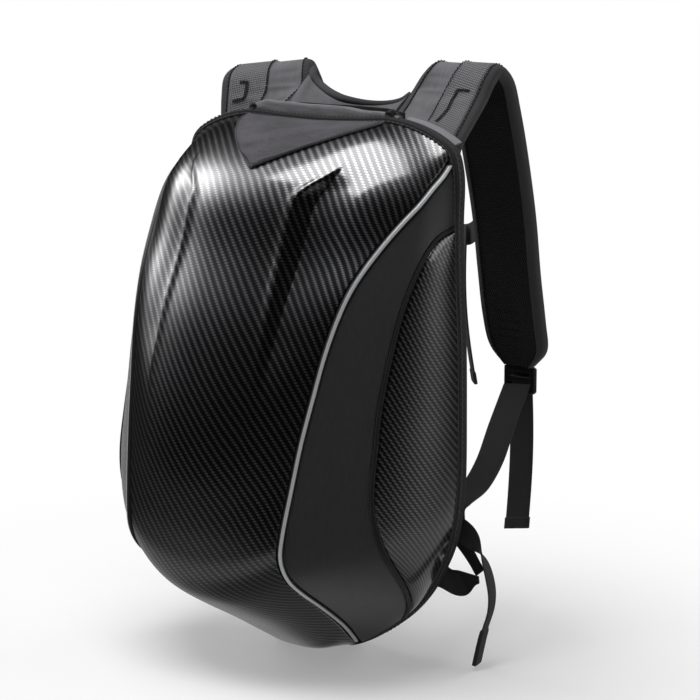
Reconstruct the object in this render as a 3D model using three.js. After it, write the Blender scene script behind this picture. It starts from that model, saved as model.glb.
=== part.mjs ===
// Hard shell backpack, standing on its base. Millimetres, +Z up, the front faces -Y and
// the wearer's side faces +Y. The rear plane is the back face of the edge binding.
import * as THREE from 'three';

// Driving sizes
const packHeight = 480;
const packWidth = 321;
const packDepth = 181;
const shellWall = 2.5;
const gussetWall = 2;
const sidePanelWall = 2.5;
const clearance = 0.35;
const baseSetback = 24;
const seamClearance = 0.6;
const pipingRadius = 2.5;
const seamPipingRadius = 1.75;
const bindingDepth = 12;
const bindingThickness = 3;
const bindingProud = 1;
const backPadDepth = 13;
const backPadRound = 14;
const ridgeDepth = 7;
const ridgeWidth = 17;
const gussetCrown = 3;
const sidePanelCrown = 7;
const patchWall = 1.2;
const patchLift = 0.9;
const patchReach = 95;
const patchSetback = 3;
const patchHalfWidth = 80;
const handleLength = 168;
const handleHeight = 11;
const handleThickness = 4.4;
const handleRise = 1.5;
const yokeThickness = 4;
const neckBindingRadius = 2.6;
const neckTilt = 6;
const tapeWidth = 11;
const tapeThickness = 1.5;
const strapWidth = 75;
const strapThickness = 10;
const strapInnerEdge = 70;
const strapRise = 48;
const strapDrop = 283;
const strapReach = 140;
const webbingSide = 143;
const webbingAnchor = 145;
const shoulderPatchWall = 1.2;
const webbingWidth = 29;
const webbingThickness = 1.8;
const tailLength = 152;
const tailFold = 11;
const buckleWidth = 35;
const buckleSlot = 3.4;
const buckleHeight = 26;
const buckleThickness = 6;
const buckleLean = 1.5;
const sternumWidth = 20;
const sternumDrop = 158;
const sternumBow = 26;
const sternumSag = 8;
const sternumTailLength = 150;
const sternumTailBack = 15.1;
const sternumBuckleLength = 46;
const sternumBuckleWidth = 27;
const sternumBuckleThickness = 9;
const hipWebbingWidth = 22;
const hipWingLength = 66;
const hipWingWidth = 36;
const hipWingThickness = 3;
const hipHeight = 72;
const hipRoot = 96;
const hipTailHeight = 124;
const hipTailClearance = 4.5;
const hipTuck = 30;

// Materials
const carbonFilm = new THREE.MeshStandardMaterial({ color: 0x17181a, roughness: 0.32, metalness: 0 });
const smoothCloth = new THREE.MeshStandardMaterial({ color: 0x2a2a2b, roughness: 0.7, metalness: 0 });
const silverPiping = new THREE.MeshStandardMaterial({ color: 0xa4a6a8, roughness: 0.4, metalness: 0 });
const blackPiping = new THREE.MeshStandardMaterial({ color: 0x161616, roughness: 0.55, metalness: 0 });
const bindingTape = new THREE.MeshStandardMaterial({ color: 0x262627, roughness: 0.8, metalness: 0 });
const airMesh = new THREE.MeshStandardMaterial({ color: 0x181818, roughness: 0.92, metalness: 0 });
const greyCloth = new THREE.MeshStandardMaterial({ color: 0x5e5c60, roughness: 0.72, metalness: 0 });
const webbingNylon = new THREE.MeshStandardMaterial({ color: 0x2a2a2a, roughness: 0.75, metalness: 0 });
const ballisticNylon = new THREE.MeshStandardMaterial({ color: 0x4a494b, roughness: 0.85, metalness: 0 });
const buckleAcetal = new THREE.MeshStandardMaterial({ color: 0x141414, roughness: 0.45, metalness: 0 });

const halfWidth = packWidth / 2;
const halfHeight = packHeight / 2;
const panelBack = bindingDepth + clearance;

const vector = (x, y, z) => new THREE.Vector3(x, y, z);
const mix = THREE.MathUtils.lerp;
const smoothstep = THREE.MathUtils.smoothstep;
const steps = (count) => Array.from({ length: count + 1 }, (_, i) => i / count);

// Back outline, right half from the top centre to the bottom centre, as shares of the
// half width and of the height.
const outlineRows = [
  { across: 0, height: 0.99 },
  { across: 0.28, height: 0.993 },
  { across: 0.511, height: 0.996 },
  { across: 0.685, height: 0.986 },
  { across: 0.835, height: 0.967 },
  { across: 0.916, height: 0.948 },
  { across: 0.947, height: 0.919 },
  { across: 0.966, height: 0.833 },
  { across: 0.978, height: 0.708 },
  { across: 0.994, height: 0.605 },
  { across: 1, height: 0.49 },
  { across: 0.999, height: 0.356 },
  { across: 0.981, height: 0.291 },
  { across: 0.941, height: 0.233 },
  { across: 0.872, height: 0.182 },
  { across: 0.773, height: 0.129 },
  { across: 0.642, height: 0.083 },
  { across: 0.48, height: 0.043 },
  { across: 0.312, height: 0.01 },
  { across: 0.156, height: -0.004 },
  { across: 0, height: -0.005 },
];

// Where the two seams and the root tape meet the back outline, as shares of the right
// half's length.
const outlineShare = {
  tapeStart: 0.125, tapeEnd: 0.222, pipingHead: 0.23, seamHead: 0.309, seamFoot: 0.837, pipingFoot: 0.928,
};

// Shell sections from the top to the underside: the middle and the piped edge, as shares
// of the pack's depth, height and half width, and the power that rounds the section.
const shellRows = [
  { midDepth: 0.221, midHeight: 0.982, across: 0.941, depth: 0.122, height: 0.912, power: 3.2 },
  { midDepth: 0.387, midHeight: 0.957, across: 0.935, depth: 0.21, height: 0.888, power: 3 },
  { midDepth: 0.536, midHeight: 0.916, across: 0.922, depth: 0.282, height: 0.864, power: 2.8 },
  { midDepth: 0.624, midHeight: 0.862, across: 0.885, depth: 0.365, height: 0.835, power: 2.6 },
  { midDepth: 0.751, midHeight: 0.75, across: 0.829, depth: 0.47, height: 0.791, power: 2.4 },
  { midDepth: 0.856, midHeight: 0.656, across: 0.754, depth: 0.613, height: 0.718, power: 2.3 },
  { midDepth: 0.923, midHeight: 0.567, across: 0.698, depth: 0.718, height: 0.621, power: 2.3 },
  { midDepth: 0.967, midHeight: 0.49, across: 0.66, depth: 0.773, height: 0.538, power: 2.3 },
  { midDepth: 0.994, midHeight: 0.406, across: 0.626, depth: 0.823, height: 0.459, power: 2.3 },
  { midDepth: 1, midHeight: 0.323, across: 0.598, depth: 0.862, height: 0.379, power: 2.3 },
  { midDepth: 1, midHeight: 0.255, across: 0.57, depth: 0.895, height: 0.304, power: 2.3 },
  { midDepth: 0.989, midHeight: 0.2, across: 0.555, depth: 0.901, height: 0.255, power: 2.3 },
  { midDepth: 0.928, midHeight: 0.158, across: 0.548, depth: 0.851, height: 0.217, power: 2.3 },
  { midDepth: 0.773, midHeight: 0.119, across: 0.526, depth: 0.746, height: 0.184, power: 2.4 },
  { midDepth: 0.525, midHeight: 0.067, across: 0.48, depth: 0.552, height: 0.138, power: 2.6 },
  { midDepth: 0.304, midHeight: 0.016, across: 0.399, depth: 0.304, height: 0.079, power: 2.8 },
  { midDepth: 0.205, midHeight: -0.004, across: 0.355, depth: 0.19, height: 0.048, power: 2.9 },
];

// Seam between gusset and side panel, row for row beside the shell's sections.
const seamRows = [
  { across: 0.953, depth: 0.09, height: 0.813 },
  { across: 0.952, depth: 0.167, height: 0.805 },
  { across: 0.954, depth: 0.243, height: 0.787 },
  { across: 0.957, depth: 0.309, height: 0.763 },
  { across: 0.945, depth: 0.392, height: 0.712 },
  { across: 0.933, depth: 0.46, height: 0.652 },
  { across: 0.922, depth: 0.532, height: 0.565 },
  { across: 0.917, depth: 0.574, height: 0.503 },
  { across: 0.923, depth: 0.603, height: 0.442 },
  { across: 0.926, depth: 0.632, height: 0.378 },
  { across: 0.932, depth: 0.631, height: 0.333 },
  { across: 0.943, depth: 0.608, height: 0.297 },
  { across: 0.949, depth: 0.572, height: 0.264 },
  { across: 0.936, depth: 0.487, height: 0.225 },
  { across: 0.883, depth: 0.34, height: 0.175 },
  { across: 0.773, depth: 0.177, height: 0.121 },
  { across: 0.71, depth: 0.124, height: 0.1 },
];

// Shoulder strap's middle layer from its root on the back to its tip, as shares: across
// of the strap's width from its inner edge, back of strapReach behind its root, down of
// strapDrop under its top, and thick of its thickness. The left one's outer edge folds
// over lower down.
const strapRows = [
  { inner: -0.03, innerBack: 0, innerDown: 0.24, outer: 0.89, outerBack: 0, outerDown: 0.332,
    left: 0.91, leftBack: 0, leftDown: 0.346, thick: 0.5 },
  { inner: -0.05, innerBack: 0.012, innerDown: 0.177, outer: 0.89, outerBack: 0.012, outerDown: 0.258,
    left: 0.93, leftBack: 0.008, leftDown: 0.276, thick: 0.55 },
  { inner: -0.09, innerBack: 0.13, innerDown: 0.138, outer: 0.89, outerBack: 0.137, outerDown: 0.184,
    left: 0.97, leftBack: 0.023, leftDown: 0.205, thick: 0.7 },
  { inner: -0.12, innerBack: 0.244, innerDown: 0.099, outer: 0.89, outerBack: 0.272, outerDown: 0.113,
    left: 1.01, leftBack: 0.051, leftDown: 0.134, thick: 0.85 },
  { inner: -0.05, innerBack: 0.301, innerDown: 0.049, outer: 0.91, outerBack: 0.344, outerDown: 0.057,
    left: 1.05, leftBack: 0.101, leftDown: 0.078, thick: 1 },
  { inner: 0.01, innerBack: 0.358, innerDown: 0.021, outer: 0.93, outerBack: 0.415, outerDown: 0.025,
    left: 1.05, leftBack: 0.201, leftDown: 0.057, thick: 1 },
  { inner: 0.01, innerBack: 0.473, innerDown: 0.039, outer: 0.95, outerBack: 0.501, outerDown: 0.057,
    left: 1.03, leftBack: 0.372, leftDown: 0.11, thick: 1 },
  { inner: 0, innerBack: 0.587, innerDown: 0.12, outer: 0.96, outerBack: 0.573, outerDown: 0.155,
    left: 1, leftBack: 0.53, leftDown: 0.191, thick: 1 },
  { inner: 0, innerBack: 0.708, innerDown: 0.307, outer: 0.96, outerBack: 0.665, outerDown: 0.307,
    left: 0.97, leftBack: 0.687, leftDown: 0.325, thick: 1 },
  { inner: 0, innerBack: 0.815, innerDown: 0.502, outer: 0.96, outerBack: 0.758, outerDown: 0.502,
    left: 0.96, leftBack: 0.773, leftDown: 0.502, thick: 1 },
  { inner: 0, innerBack: 0.88, innerDown: 0.682, outer: 0.96, outerBack: 0.815, outerDown: 0.682,
    left: 0.96, leftBack: 0.815, leftDown: 0.682, thick: 1 },
  { inner: 0, innerBack: 0.944, innerDown: 0.841, outer: 0.96, outerBack: 0.88, outerDown: 0.841,
    left: 0.96, leftBack: 0.88, leftDown: 0.841, thick: 1 },
  { inner: 0.04, innerBack: 0.994, innerDown: 0.94, outer: 0.92, outerBack: 0.937, outerDown: 0.94,
    left: 0.92, leftBack: 0.937, leftDown: 0.94, thick: 0.95 },
  { inner: 0.24, innerBack: 1.008, innerDown: 1, outer: 0.69, outerBack: 0.98, outerDown: 1,
    left: 0.69, leftBack: 0.98, leftDown: 1, thick: 0.8 },
];

// Neck edge of the yoke, right half: across of the strap's inner edge, back of the
// strap's reach and up of its rise over the pack.
const neckRows = [
  { across: 0, back: 0.065, up: 0.2 },
  { across: 0.26, back: 0.093, up: 0.18 },
  { across: 0.5, back: 0.15, up: 0.21 },
  { across: 0.7, back: 0.2, up: 0.3 },
  { across: 0.82, back: 0.222, up: 0.43 },
];

function curveOf(points) {
  return new THREE.CatmullRomCurve3(points, false, 'centripetal');
}

// A closed solid through rings of equal length. Each end is capped by strips between
// the ring's two halves, or the last ring joins the first.
function loft(rings, joined = false) {
  const size = rings[0].length;
  const positions = rings.flat().flatMap((point) => point.toArray());
  const faces = [];
  const quad = (a, b, c, d) => faces.push([a, b, c], [a, c, d]);
  const last = joined ? rings.length : rings.length - 1;
  for (let i = 0; i < last; i += 1) {
    const here = i * size;
    const next = ((i + 1) % rings.length) * size;
    for (let j = 0; j < size; j += 1) {
      const k = (j + 1) % size;
      quad(here + j, here + k, next + k, next + j);
    }
  }
  if (!joined) {
    const end = (rings.length - 1) * size;
    for (let j = 0; j < size / 2 - 1; j += 1) {
      const mate = size - 1 - j;
      quad(j, mate, mate - 1, j + 1);
      quad(end + j, end + j + 1, end + mate - 1, end + mate);
    }
  }
  const flat = faces.filter(([a, b, c]) => a !== b && b !== c && a !== c);
  return facingOut(positions, flat);
}

// Turns every triangle round when the signed volume is negative.
function facingOut(positions, faces) {
  const corner = (index) => vector().fromArray(positions, index * 3);
  const volume = faces.reduce((sum, [a, b, c]) => sum + corner(a).dot(corner(b).cross(corner(c))), 0);
  const turned = volume < 0 ? faces.map(([a, b, c]) => [a, c, b]) : faces;
  const geometry = new THREE.BufferGeometry();
  geometry.setAttribute('position', new THREE.Float32BufferAttribute(positions, 3));
  geometry.setIndex(turned.flat());
  geometry.computeVertexNormals();
  return geometry;
}

// Way into the body from a point of its skin: the gradient of an ellipsoid on the rear
// plane. Neighbouring walls share it, so their edges stay parallel along a seam.
function inward(point) {
  const way = vector(
    -point.x / halfWidth ** 2,
    -(point.y + panelBack) / packDepth ** 2,
    -(point.z - halfHeight) / halfHeight ** 2,
  );
  return way.normalize();
}

// A wall under a grid of skin points, as thick everywhere as its thickness says.
function wall(grid, thickness) {
  const rings = grid.map((row, i) => {
    const inner = row.map((point, j) => {
      const up = grid[Math.max(i - 1, 0)][j];
      const down = grid[Math.min(i + 1, grid.length - 1)][j];
      const near = row[Math.max(j - 1, 0)];
      const far = row[Math.min(j + 1, row.length - 1)];
      const normal = down.clone().sub(up).cross(far.clone().sub(near)).normalize();
      const way = inward(point);
      const lean = Math.max(Math.abs(normal.dot(way)), 0.7);
      return point.clone().addScaledVector(way, thickness / lean);
    });
    return [...row, ...inner.reverse()];
  });
  return loft(rings);
}

// A body between two grids of equal size, one above the other.
function sheet(top, bottom) {
  return loft(top.map((row, i) => [...row, ...[...bottom[i]].reverse()]));
}

// A tube of even-sided section along a path, with flat ends.
function tube(path, radius, sides = 6) {
  let across = vector(1, 0, 0);
  const rings = path.map((point, i) => {
    const tangent = path[Math.min(i + 1, path.length - 1)].clone().sub(path[Math.max(i - 1, 0)]).normalize();
    across = across.addScaledVector(tangent, -across.dot(tangent)).normalize();
    const side = across.clone();
    const up = tangent.clone().cross(side);
    return Array.from({ length: sides }, (_, k) => {
      const angle = (k + 0.5) / sides * Math.PI * 2;
      const round = point.clone().addScaledVector(side, radius * Math.cos(angle));
      return round.addScaledVector(up, radius * Math.sin(angle));
    });
  });
  return loft(rings);
}

// A flat band along a path. The across way at each station gives the band's width
// direction, and the band may be widened or thickened there by its shares.
function band(path, acrossAt, width, thickness, widthShare = () => 1, thickShare = () => 1) {
  const rings = path.map((point, i) => {
    const share = i / (path.length - 1);
    const tangent = path[Math.min(i + 1, path.length - 1)].clone().sub(path[Math.max(i - 1, 0)]).normalize();
    const across = acrossAt(share).clone();
    across.addScaledVector(tangent, -across.dot(tangent)).normalize();
    const normal = tangent.cross(across);
    const w = width * widthShare(share) / 2;
    const t = thickness * thickShare(share) / 2;
    return [[-w, -t], [w, -t], [w, t], [-w, t]].map(([u, v]) => (
      point.clone().addScaledVector(across, u).addScaledVector(normal, v)
    ));
  });
  return loft(rings);
}

const outlineCurve = curveOf(outlineRows.map((row) => (
  vector(row.across * halfWidth, 0, row.height * packHeight)
)));

// A point of the back outline at a share of the right half, never under the floor.
function outlineAt(share, depth = panelBack) {
  const point = outlineCurve.getPointAt(share);
  return vector(point.x, -depth, Math.max(point.z, 0));
}

const middleCurve = curveOf([
  outlineAt(0),
  ...shellRows.map((row) => vector(0, -row.midDepth * packDepth, row.midHeight * packHeight)),
  outlineAt(1),
]);
const pipingCurve = curveOf([
  outlineAt(outlineShare.pipingHead),
  ...shellRows.map((row) => vector(row.across * halfWidth, -row.depth * packDepth, row.height * packHeight)),
  outlineAt(outlineShare.pipingFoot),
]);
const seamCurve = curveOf([
  outlineAt(outlineShare.seamHead),
  ...seamRows.map((row) => vector(row.across * halfWidth, -row.depth * packDepth, row.height * packHeight)),
  outlineAt(outlineShare.seamFoot),
]);
const powers = [shellRows[0], ...shellRows, shellRows[shellRows.length - 1]].map((row) => row.power);

function powerAt(u) {
  const place = u * (powers.length - 1);
  const low = Math.min(Math.floor(place), powers.length - 2);
  return mix(powers[low], powers[low + 1], place - low);
}

// Height of the sculpted relief beside the raised tongue: a steep inner bank that falls
// from the ridge line into a valley, which rises gently to the side and fades at both ends.
function relief(across, height) {
  const share = height / packHeight;
  const fade = smoothstep(share, 0.56, 0.7) * (1 - smoothstep(share, 0.885, 0.93));
  const line = mix(0.31, 0.46, THREE.MathUtils.clamp((share - 0.6) / 0.31, 0, 1)) * halfWidth;
  const away = (Math.abs(across) - line - ridgeWidth) / ridgeWidth;
  const bank = away < 0 ? Math.exp(-4 * away * away) : Math.exp(-0.55 * away * away);
  return -ridgeDepth * fade * bank;
}

// The shell's skin at a share along it and a share across it from -1 to 1. The first and
// last sections are pulled onto the back outline.
function shellSkin(u, a) {
  const middle = middleCurve.getPoint(u);
  const edge = pipingCurve.getPoint(u);
  const side = Math.abs(a);
  const fall = side ** powerAt(u);
  const raw = (mid, rim, power) => vector(rim.x * a, mix(mid.y, rim.y, power), mix(mid.z, rim.z, power));
  const point = raw(middle, edge, fall);
  const pull = (share, from, weight) => {
    const target = outlineAt(share);
    target.x *= Math.sign(a);
    point.addScaledVector(target.sub(from), weight);
  };
  const head = raw(middleCurve.getPoint(0), pipingCurve.getPoint(0), side ** powerAt(0));
  const foot = raw(middleCurve.getPoint(1), pipingCurve.getPoint(1), side ** powerAt(1));
  pull(outlineShare.pipingHead * side, head, (1 - u) ** 12);
  pull(1 - (1 - outlineShare.pipingFoot) * side, foot, u ** 12);
  point.addScaledVector(inward(point), -relief(point.x, point.z));
  point.z = Math.max(point.z, 0);
  return point;
}

// The gusset's skin between piping (w 0) and seam (w 1), and its run on the back outline
// at both ends.
function gussetSkin(u, w) {
  const point = pipingCurve.getPoint(u).lerp(seamCurve.getPoint(u), w);
  const headShare = mix(outlineShare.pipingHead, outlineShare.seamHead, w);
  const footShare = mix(outlineShare.pipingFoot, outlineShare.seamFoot, w);
  const chord = (from, to) => outlineAt(from).lerp(outlineAt(to), w);
  const head = outlineAt(headShare).sub(chord(outlineShare.pipingHead, outlineShare.seamHead));
  const foot = outlineAt(footShare).sub(chord(outlineShare.pipingFoot, outlineShare.seamFoot));
  point.addScaledVector(head, (1 - u) ** 12).addScaledVector(foot, u ** 12);
  const crown = gussetCrown * 4 * w * (1 - w) * Math.sin(Math.PI * u);
  return point.addScaledVector(inward(point), -crown);
}

const lengthSteps = 400;
const seamLengths = seamCurve.getLengths(lengthSteps);

function seamShareOfLength(u) {
  return seamLengths[Math.round(u * lengthSteps)] / seamLengths[lengthSteps];
}

// The side panel's skin between seam (w 0) and back outline (w 1).
function sideSkin(u, w) {
  const share = mix(outlineShare.seamHead, outlineShare.seamFoot, seamShareOfLength(u));
  const point = seamCurve.getPoint(u).lerp(outlineAt(share), w);
  const crown = sidePanelCrown * 4 * w * (1 - w) * Math.sin(Math.PI * u);
  return point.addScaledVector(inward(point), -crown);
}

// Share of a panel's section that its seam's piping takes up at a share along the seam.
function channel(curve, u, from, to, radius) {
  const section = to.clone().sub(from);
  const tangent = curve.getTangent(THREE.MathUtils.clamp(u, 0.01, 0.99));
  const slant = Math.max(section.clone().normalize().cross(tangent).length(), 0.4);
  return (radius + seamClearance) / slant / section.length();
}

function mirrored(point, side) {
  return vector(point.x * side, point.y, point.z);
}

const bodySteps = steps(34);
const panelSteps = steps(34).slice(1, -1);
// The origin is the middle of the flat base, on the floor.
const pack = new THREE.Group();
pack.position.y = baseSetback;

function add(name, geometry, material) {
  const mesh = new THREE.Mesh(geometry, material);
  mesh.name = name;
  pack.add(mesh);
}

function addShell() {
  const grid = bodySteps.map((u) => {
    const edge = shellSkin(u, 1);
    const hold = channel(pipingCurve, u, edge, shellSkin(u, 0.9), pipingRadius) * 0.1;
    return steps(24).map((share) => shellSkin(u, (share * 2 - 1) * (1 - hold)));
  });
  add('front_shell', wall(grid, shellWall), carbonFilm);
}

function addGusset(side, word) {
  const grid = bodySteps.map((u) => {
    const front = pipingCurve.getPoint(u);
    const back = seamCurve.getPoint(u);
    const low = channel(pipingCurve, u, front, back, pipingRadius);
    const high = channel(seamCurve, u, back, front, seamPipingRadius);
    return steps(2).map((share) => mirrored(gussetSkin(u, mix(low, 1 - high, share)), side));
  });
  add(`gusset_${word}`, wall(grid, gussetWall), smoothCloth);
}

function addSidePanel(side, word) {
  const grid = panelSteps.map((u) => {
    const hold = channel(seamCurve, u, sideSkin(u, 0), sideSkin(u, 1), seamPipingRadius);
    return steps(4).map((share) => mirrored(sideSkin(u, mix(Math.min(hold, 0.8), 1, share)), side));
  });
  add(`side_panel_${word}`, wall(grid, sidePanelWall), carbonFilm);
}

// Piping that stands on a seam. Its ends stay clear of the edge binding.
function addPiping(curve, radius, sides, side, name, material) {
  const path = bodySteps.map((u) => {
    const point = curve.getPoint(mix(0.008, 0.985, u));
    point.y = Math.min(point.y, -(bindingDepth + radius + clearance));
    point.z = Math.max(point.z, radius + clearance);
    return mirrored(point, side);
  });
  add(name, tube(path, radius, sides), material);
}

// Closed run of outline points round the pack, moved out by a distance.
function outlineLoop(out, depth, count = 32) {
  const offset = (share) => {
    const point = outlineAt(share, depth);
    const tangent = outlineCurve.getTangentAt(share);
    const normal = vector(-tangent.z, 0, tangent.x);
    point.addScaledVector(normal, out);
    point.z = Math.max(point.z, 0);
    return point;
  };
  const right = steps(count).map(offset);
  right[0].x = 0;
  right[count].x = 0;
  const left = right.slice(1, -1).reverse().map((point) => mirrored(point, -1));
  return [...right, ...left];
}

function addBinding() {
  const out = bindingProud;
  const inn = bindingProud - bindingThickness;
  const corners = [[out, bindingDepth], [out, 0], [inn, 0], [inn, bindingDepth]];
  const loops = corners.map(([distance, depth]) => outlineLoop(distance, depth));
  loops[2].forEach((point) => { point.z = Math.max(point.z, bindingThickness - bindingProud); });
  loops[3].forEach((point) => { point.z = Math.max(point.z, bindingThickness - bindingProud); });
  const rings = loops[0].map((_, k) => loops.map((loop) => loop[k]));
  add('edge_binding', loft(rings, true), bindingTape);
}

// A point moved towards the middle of the back by an inset.
function insetPoint(point, inset, back) {
  const z = mix(point.z, halfHeight, inset / halfHeight);
  return vector(point.x * (1 - inset / halfWidth), back, z);
}

function addBackPanel() {
  const fit = bindingThickness - bindingProud + 2 * clearance;
  const rows = [
    { inset: fit, back: -bindingDepth },
    { inset: fit, back: backPadDepth * 0.4 },
    { inset: fit + backPadRound * 0.3, back: backPadDepth * 0.82 },
    { inset: fit + backPadRound, back: backPadDepth },
  ];
  const rings = rows.map(({ inset, back }) => (
    outlineLoop(0, 0).map((point) => insetPoint(point, inset, back))
  ));
  add('back_panel', loft(rings.map((ring) => [...ring.slice(16), ...ring.slice(0, 16)])), airMesh);
}

// Shield-shaped patch of cloth laid on the shell's top, pointed towards the front.
function addTopPatch() {
  const head = middleCurve.getUtoTmapping(0, patchSetback);
  const apex = middleCurve.getUtoTmapping(0, patchReach);
  const roundness = 1.9;
  const lie = (u, a, lift) => {
    const point = shellSkin(u, a);
    return point.addScaledVector(inward(point), -lift);
  };
  const widthAt = (share) => (patchHalfWidth / halfWidth) * Math.max(1 - share ** roundness, 0.03);
  const grid = (lift) => steps(8).map((share) => steps(8).map((across) => (
    lie(mix(head, apex, share), (across * 2 - 1) * widthAt(share), lift)
  )));
  add('top_patch', sheet(grid(patchLift + patchWall), grid(patchLift)), greyCloth);
}

// Height of the back outline's upper edge at a distance from its middle.
function outlineHeightAt(across) {
  const heights = steps(60).map((share) => outlineAt(share * outlineShare.pipingHead, 0));
  return heights.reduce((near, point) => (
    Math.abs(point.x - across) < Math.abs(near.x - across) ? point : near
  )).z;
}

function addHandle() {
  const path = steps(16).map((share) => {
    const x = handleLength * (share - 0.5);
    const seat = Math.max(outlineAt(0, 0).z, outlineHeightAt(Math.abs(x))) + bindingProud;
    const rise = handleRise * Math.sin(Math.PI * share);
    return vector(x, -bindingDepth / 3, seat + clearance + handleHeight / 2 + rise);
  });
  add('handle', band(path, () => vector(0, 0, 1), handleHeight, handleThickness), greyCloth);
}

const strapTop = packHeight + strapRise;
const strapSeat = backPadDepth + clearance + strapRows[0].thick * strapThickness / 2;
const strapEdge = (across, back, down) => curveOf(strapRows.map((row) => vector(
  strapInnerEdge + row[across] * strapWidth,
  strapSeat + row[back] * strapReach,
  strapTop - row[down] * strapDrop,
)));
const innerEdge = strapEdge('inner', 'innerBack', 'innerDown');
const outerEdges = {
  right: strapEdge('outer', 'outerBack', 'outerDown'),
  left: strapEdge('left', 'leftBack', 'leftDown'),
};

// A point of a strap: share along it, share across it from the inner edge, and the
// distance from its middle layer towards its outside.
function strapPoint(word, t, a, lift) {
  const outerEdge = outerEdges[word];
  const at = (share) => innerEdge.getPoint(share).lerp(outerEdge.getPoint(share), a);
  const low = Math.max(t - 0.01, 0);
  const high = Math.min(t + 0.01, 1);
  const tangent = at(high).sub(at(low)).normalize();
  const across = outerEdge.getPoint(t).sub(innerEdge.getPoint(t)).normalize();
  const normal = across.cross(tangent).normalize();
  const point = at(t).addScaledVector(normal, lift);
  return word === 'left' ? mirrored(point, -1) : point;
}

function strapThicknessAt(t) {
  const place = t * (strapRows.length - 1);
  const low = Math.min(Math.floor(place), strapRows.length - 2);
  return strapThickness * mix(strapRows[low].thick, strapRows[low + 1].thick, place - low);
}

const strapSteps = steps(32);
const facing = { inner: 0.46, outer: 0.9, first: 3, last: 15 };

function addStrap(word) {
  const rims = [[0, 0.3], [0.1, 1], [facing.inner, 1], [facing.outer, 1], [1, 0.3]];
  const section = [...rims, ...[...rims].reverse().map(([a, share]) => [a, -share])];
  const rings = strapSteps.map((t) => section.map(([a, share]) => (
    strapPoint(word, t, a, share * strapThicknessAt(t) / 2)
  )));
  add(`shoulder_strap_${word}`, loft(rings), airMesh);
}

// Coarse nylon facing on the outer half of the strap's root. Its underside comes first
// and takes the strap's own stations, so that the facets of the two lie parallel.
function addShoulderPatch(word) {
  const grid = (extra) => strapSteps.slice(facing.first, facing.last).map((t) => (
    [facing.inner, facing.outer].map((a) => strapPoint(word, t, a, strapThicknessAt(t) / 2 + extra))
  ));
  add(`shoulder_patch_${word}`, sheet(grid(clearance), grid(clearance + shoulderPatchWall)), ballisticNylon);
}

// The neck edge as worn in: its left end stands a little higher than its right.
const neckPoint = (row, side) => vector(
  side * row.across * strapInnerEdge,
  strapSeat + row.back * strapReach,
  packHeight + row.up * strapRise - side * row.across * neckTilt,
);
const neckCurve = curveOf([
  ...[...neckRows].reverse().map((row) => neckPoint(row, -1)),
  ...neckRows.slice(1).map((row) => neckPoint(row, 1)),
]);

// The yoke climbs from the back panel's rear face to the neck edge between the straps.
function yokePoint(share, climb, lift) {
  const top = neckCurve.getPoint(share);
  const seat = backPadDepth + clearance + yokeThickness / 2;
  const base = vector(top.x, seat, packHeight * 0.955);
  const knee = vector(top.x, seat, packHeight * 0.982);
  const path = curveOf([base, knee, top]);
  const point = path.getPoint(climb);
  const tangent = path.getTangent(climb);
  return point.addScaledVector(vector(0, -tangent.z, tangent.y).normalize(), lift);
}

function addYoke() {
  const grid = (lift) => steps(16).map((share) => steps(4).map((climb) => yokePoint(share, climb, lift)));
  add('yoke', sheet(grid(yokeThickness / 2), grid(-yokeThickness / 2)), greyCloth);
  const path = steps(16).map((share) => {
    const rise = neckCurve.getPoint(share).sub(yokePoint(share, 0.9, 0)).normalize();
    return neckCurve.getPoint(share).addScaledVector(rise, neckBindingRadius + 2.3 * clearance);
  });
  add('neck_binding', tube(path, neckBindingRadius), bindingTape);
}

// Ribbed tape that covers the strap's root along the pack's top corner.
function addTape(side, word) {
  const lift = bindingProud + clearance + tapeThickness;
  const [start, end] = [outlineShare.tapeStart, outlineShare.tapeEnd];
  const path = steps(10).map((share) => {
    const place = mix(start, end, share);
    const point = outlineAt(place, 0);
    const tangent = outlineCurve.getTangentAt(place);
    point.addScaledVector(vector(-tangent.z, 0, tangent.x), lift);
    point.y = clearance + tapeWidth / 2;
    return mirrored(point, side);
  });
  add(`root_tape_${word}`, band(path, () => vector(0, 1, 0.25), tapeWidth, tapeThickness), greyCloth);
}

const strapTip = strapPoint('right', 1, 0.5, 0);
const buckleCentre = vector(
  strapTip.x,
  strapTip.y + buckleLean,
  strapTip.z - buckleHeight / 2 - 2 * clearance,
);

// Three-bar slide at the strap's tip, a frame with two slots.
function addBuckle(side, word) {
  const frame = new THREE.Shape();
  const w = buckleWidth / 2;
  const h = buckleHeight / 2;
  frame.moveTo(-w, -h).lineTo(w, -h).lineTo(w, h).lineTo(-w, h).lineTo(-w, -h);
  const rail = (buckleHeight - 2 * buckleSlot) / 3;
  [-rail / 2 - buckleSlot, rail / 2].forEach((low) => {
    const hole = new THREE.Path();
    const high = low + buckleSlot;
    hole.moveTo(-w + rail, low).lineTo(-w + rail, high);
    hole.lineTo(w - rail, high).lineTo(w - rail, low).lineTo(-w + rail, low);
    frame.holes.push(hole);
  });
  const geometry = new THREE.ExtrudeGeometry(frame, { depth: buckleThickness, bevelEnabled: false, steps: 1 });
  geometry.translate(0, 0, -buckleThickness / 2);
  geometry.rotateX(Math.PI / 2);
  geometry.translate(buckleCentre.x * side, buckleCentre.y, buckleCentre.z);
  add(`ladder_buckle_${word}`, geometry, buckleAcetal);
}

// Adjusting webbing from the slide down to the pack's lower side, as shares of the way:
// across, forward and down.
const webbingRows = [
  { across: 0.2, forward: 0.24, down: 0.4 },
  { across: 0.58, forward: 0.47, down: 0.74 },
  { across: 0.68, forward: 0.68, down: 0.96 },
  { across: 0.9, forward: 0.93, down: 1.03 },
];

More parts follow.
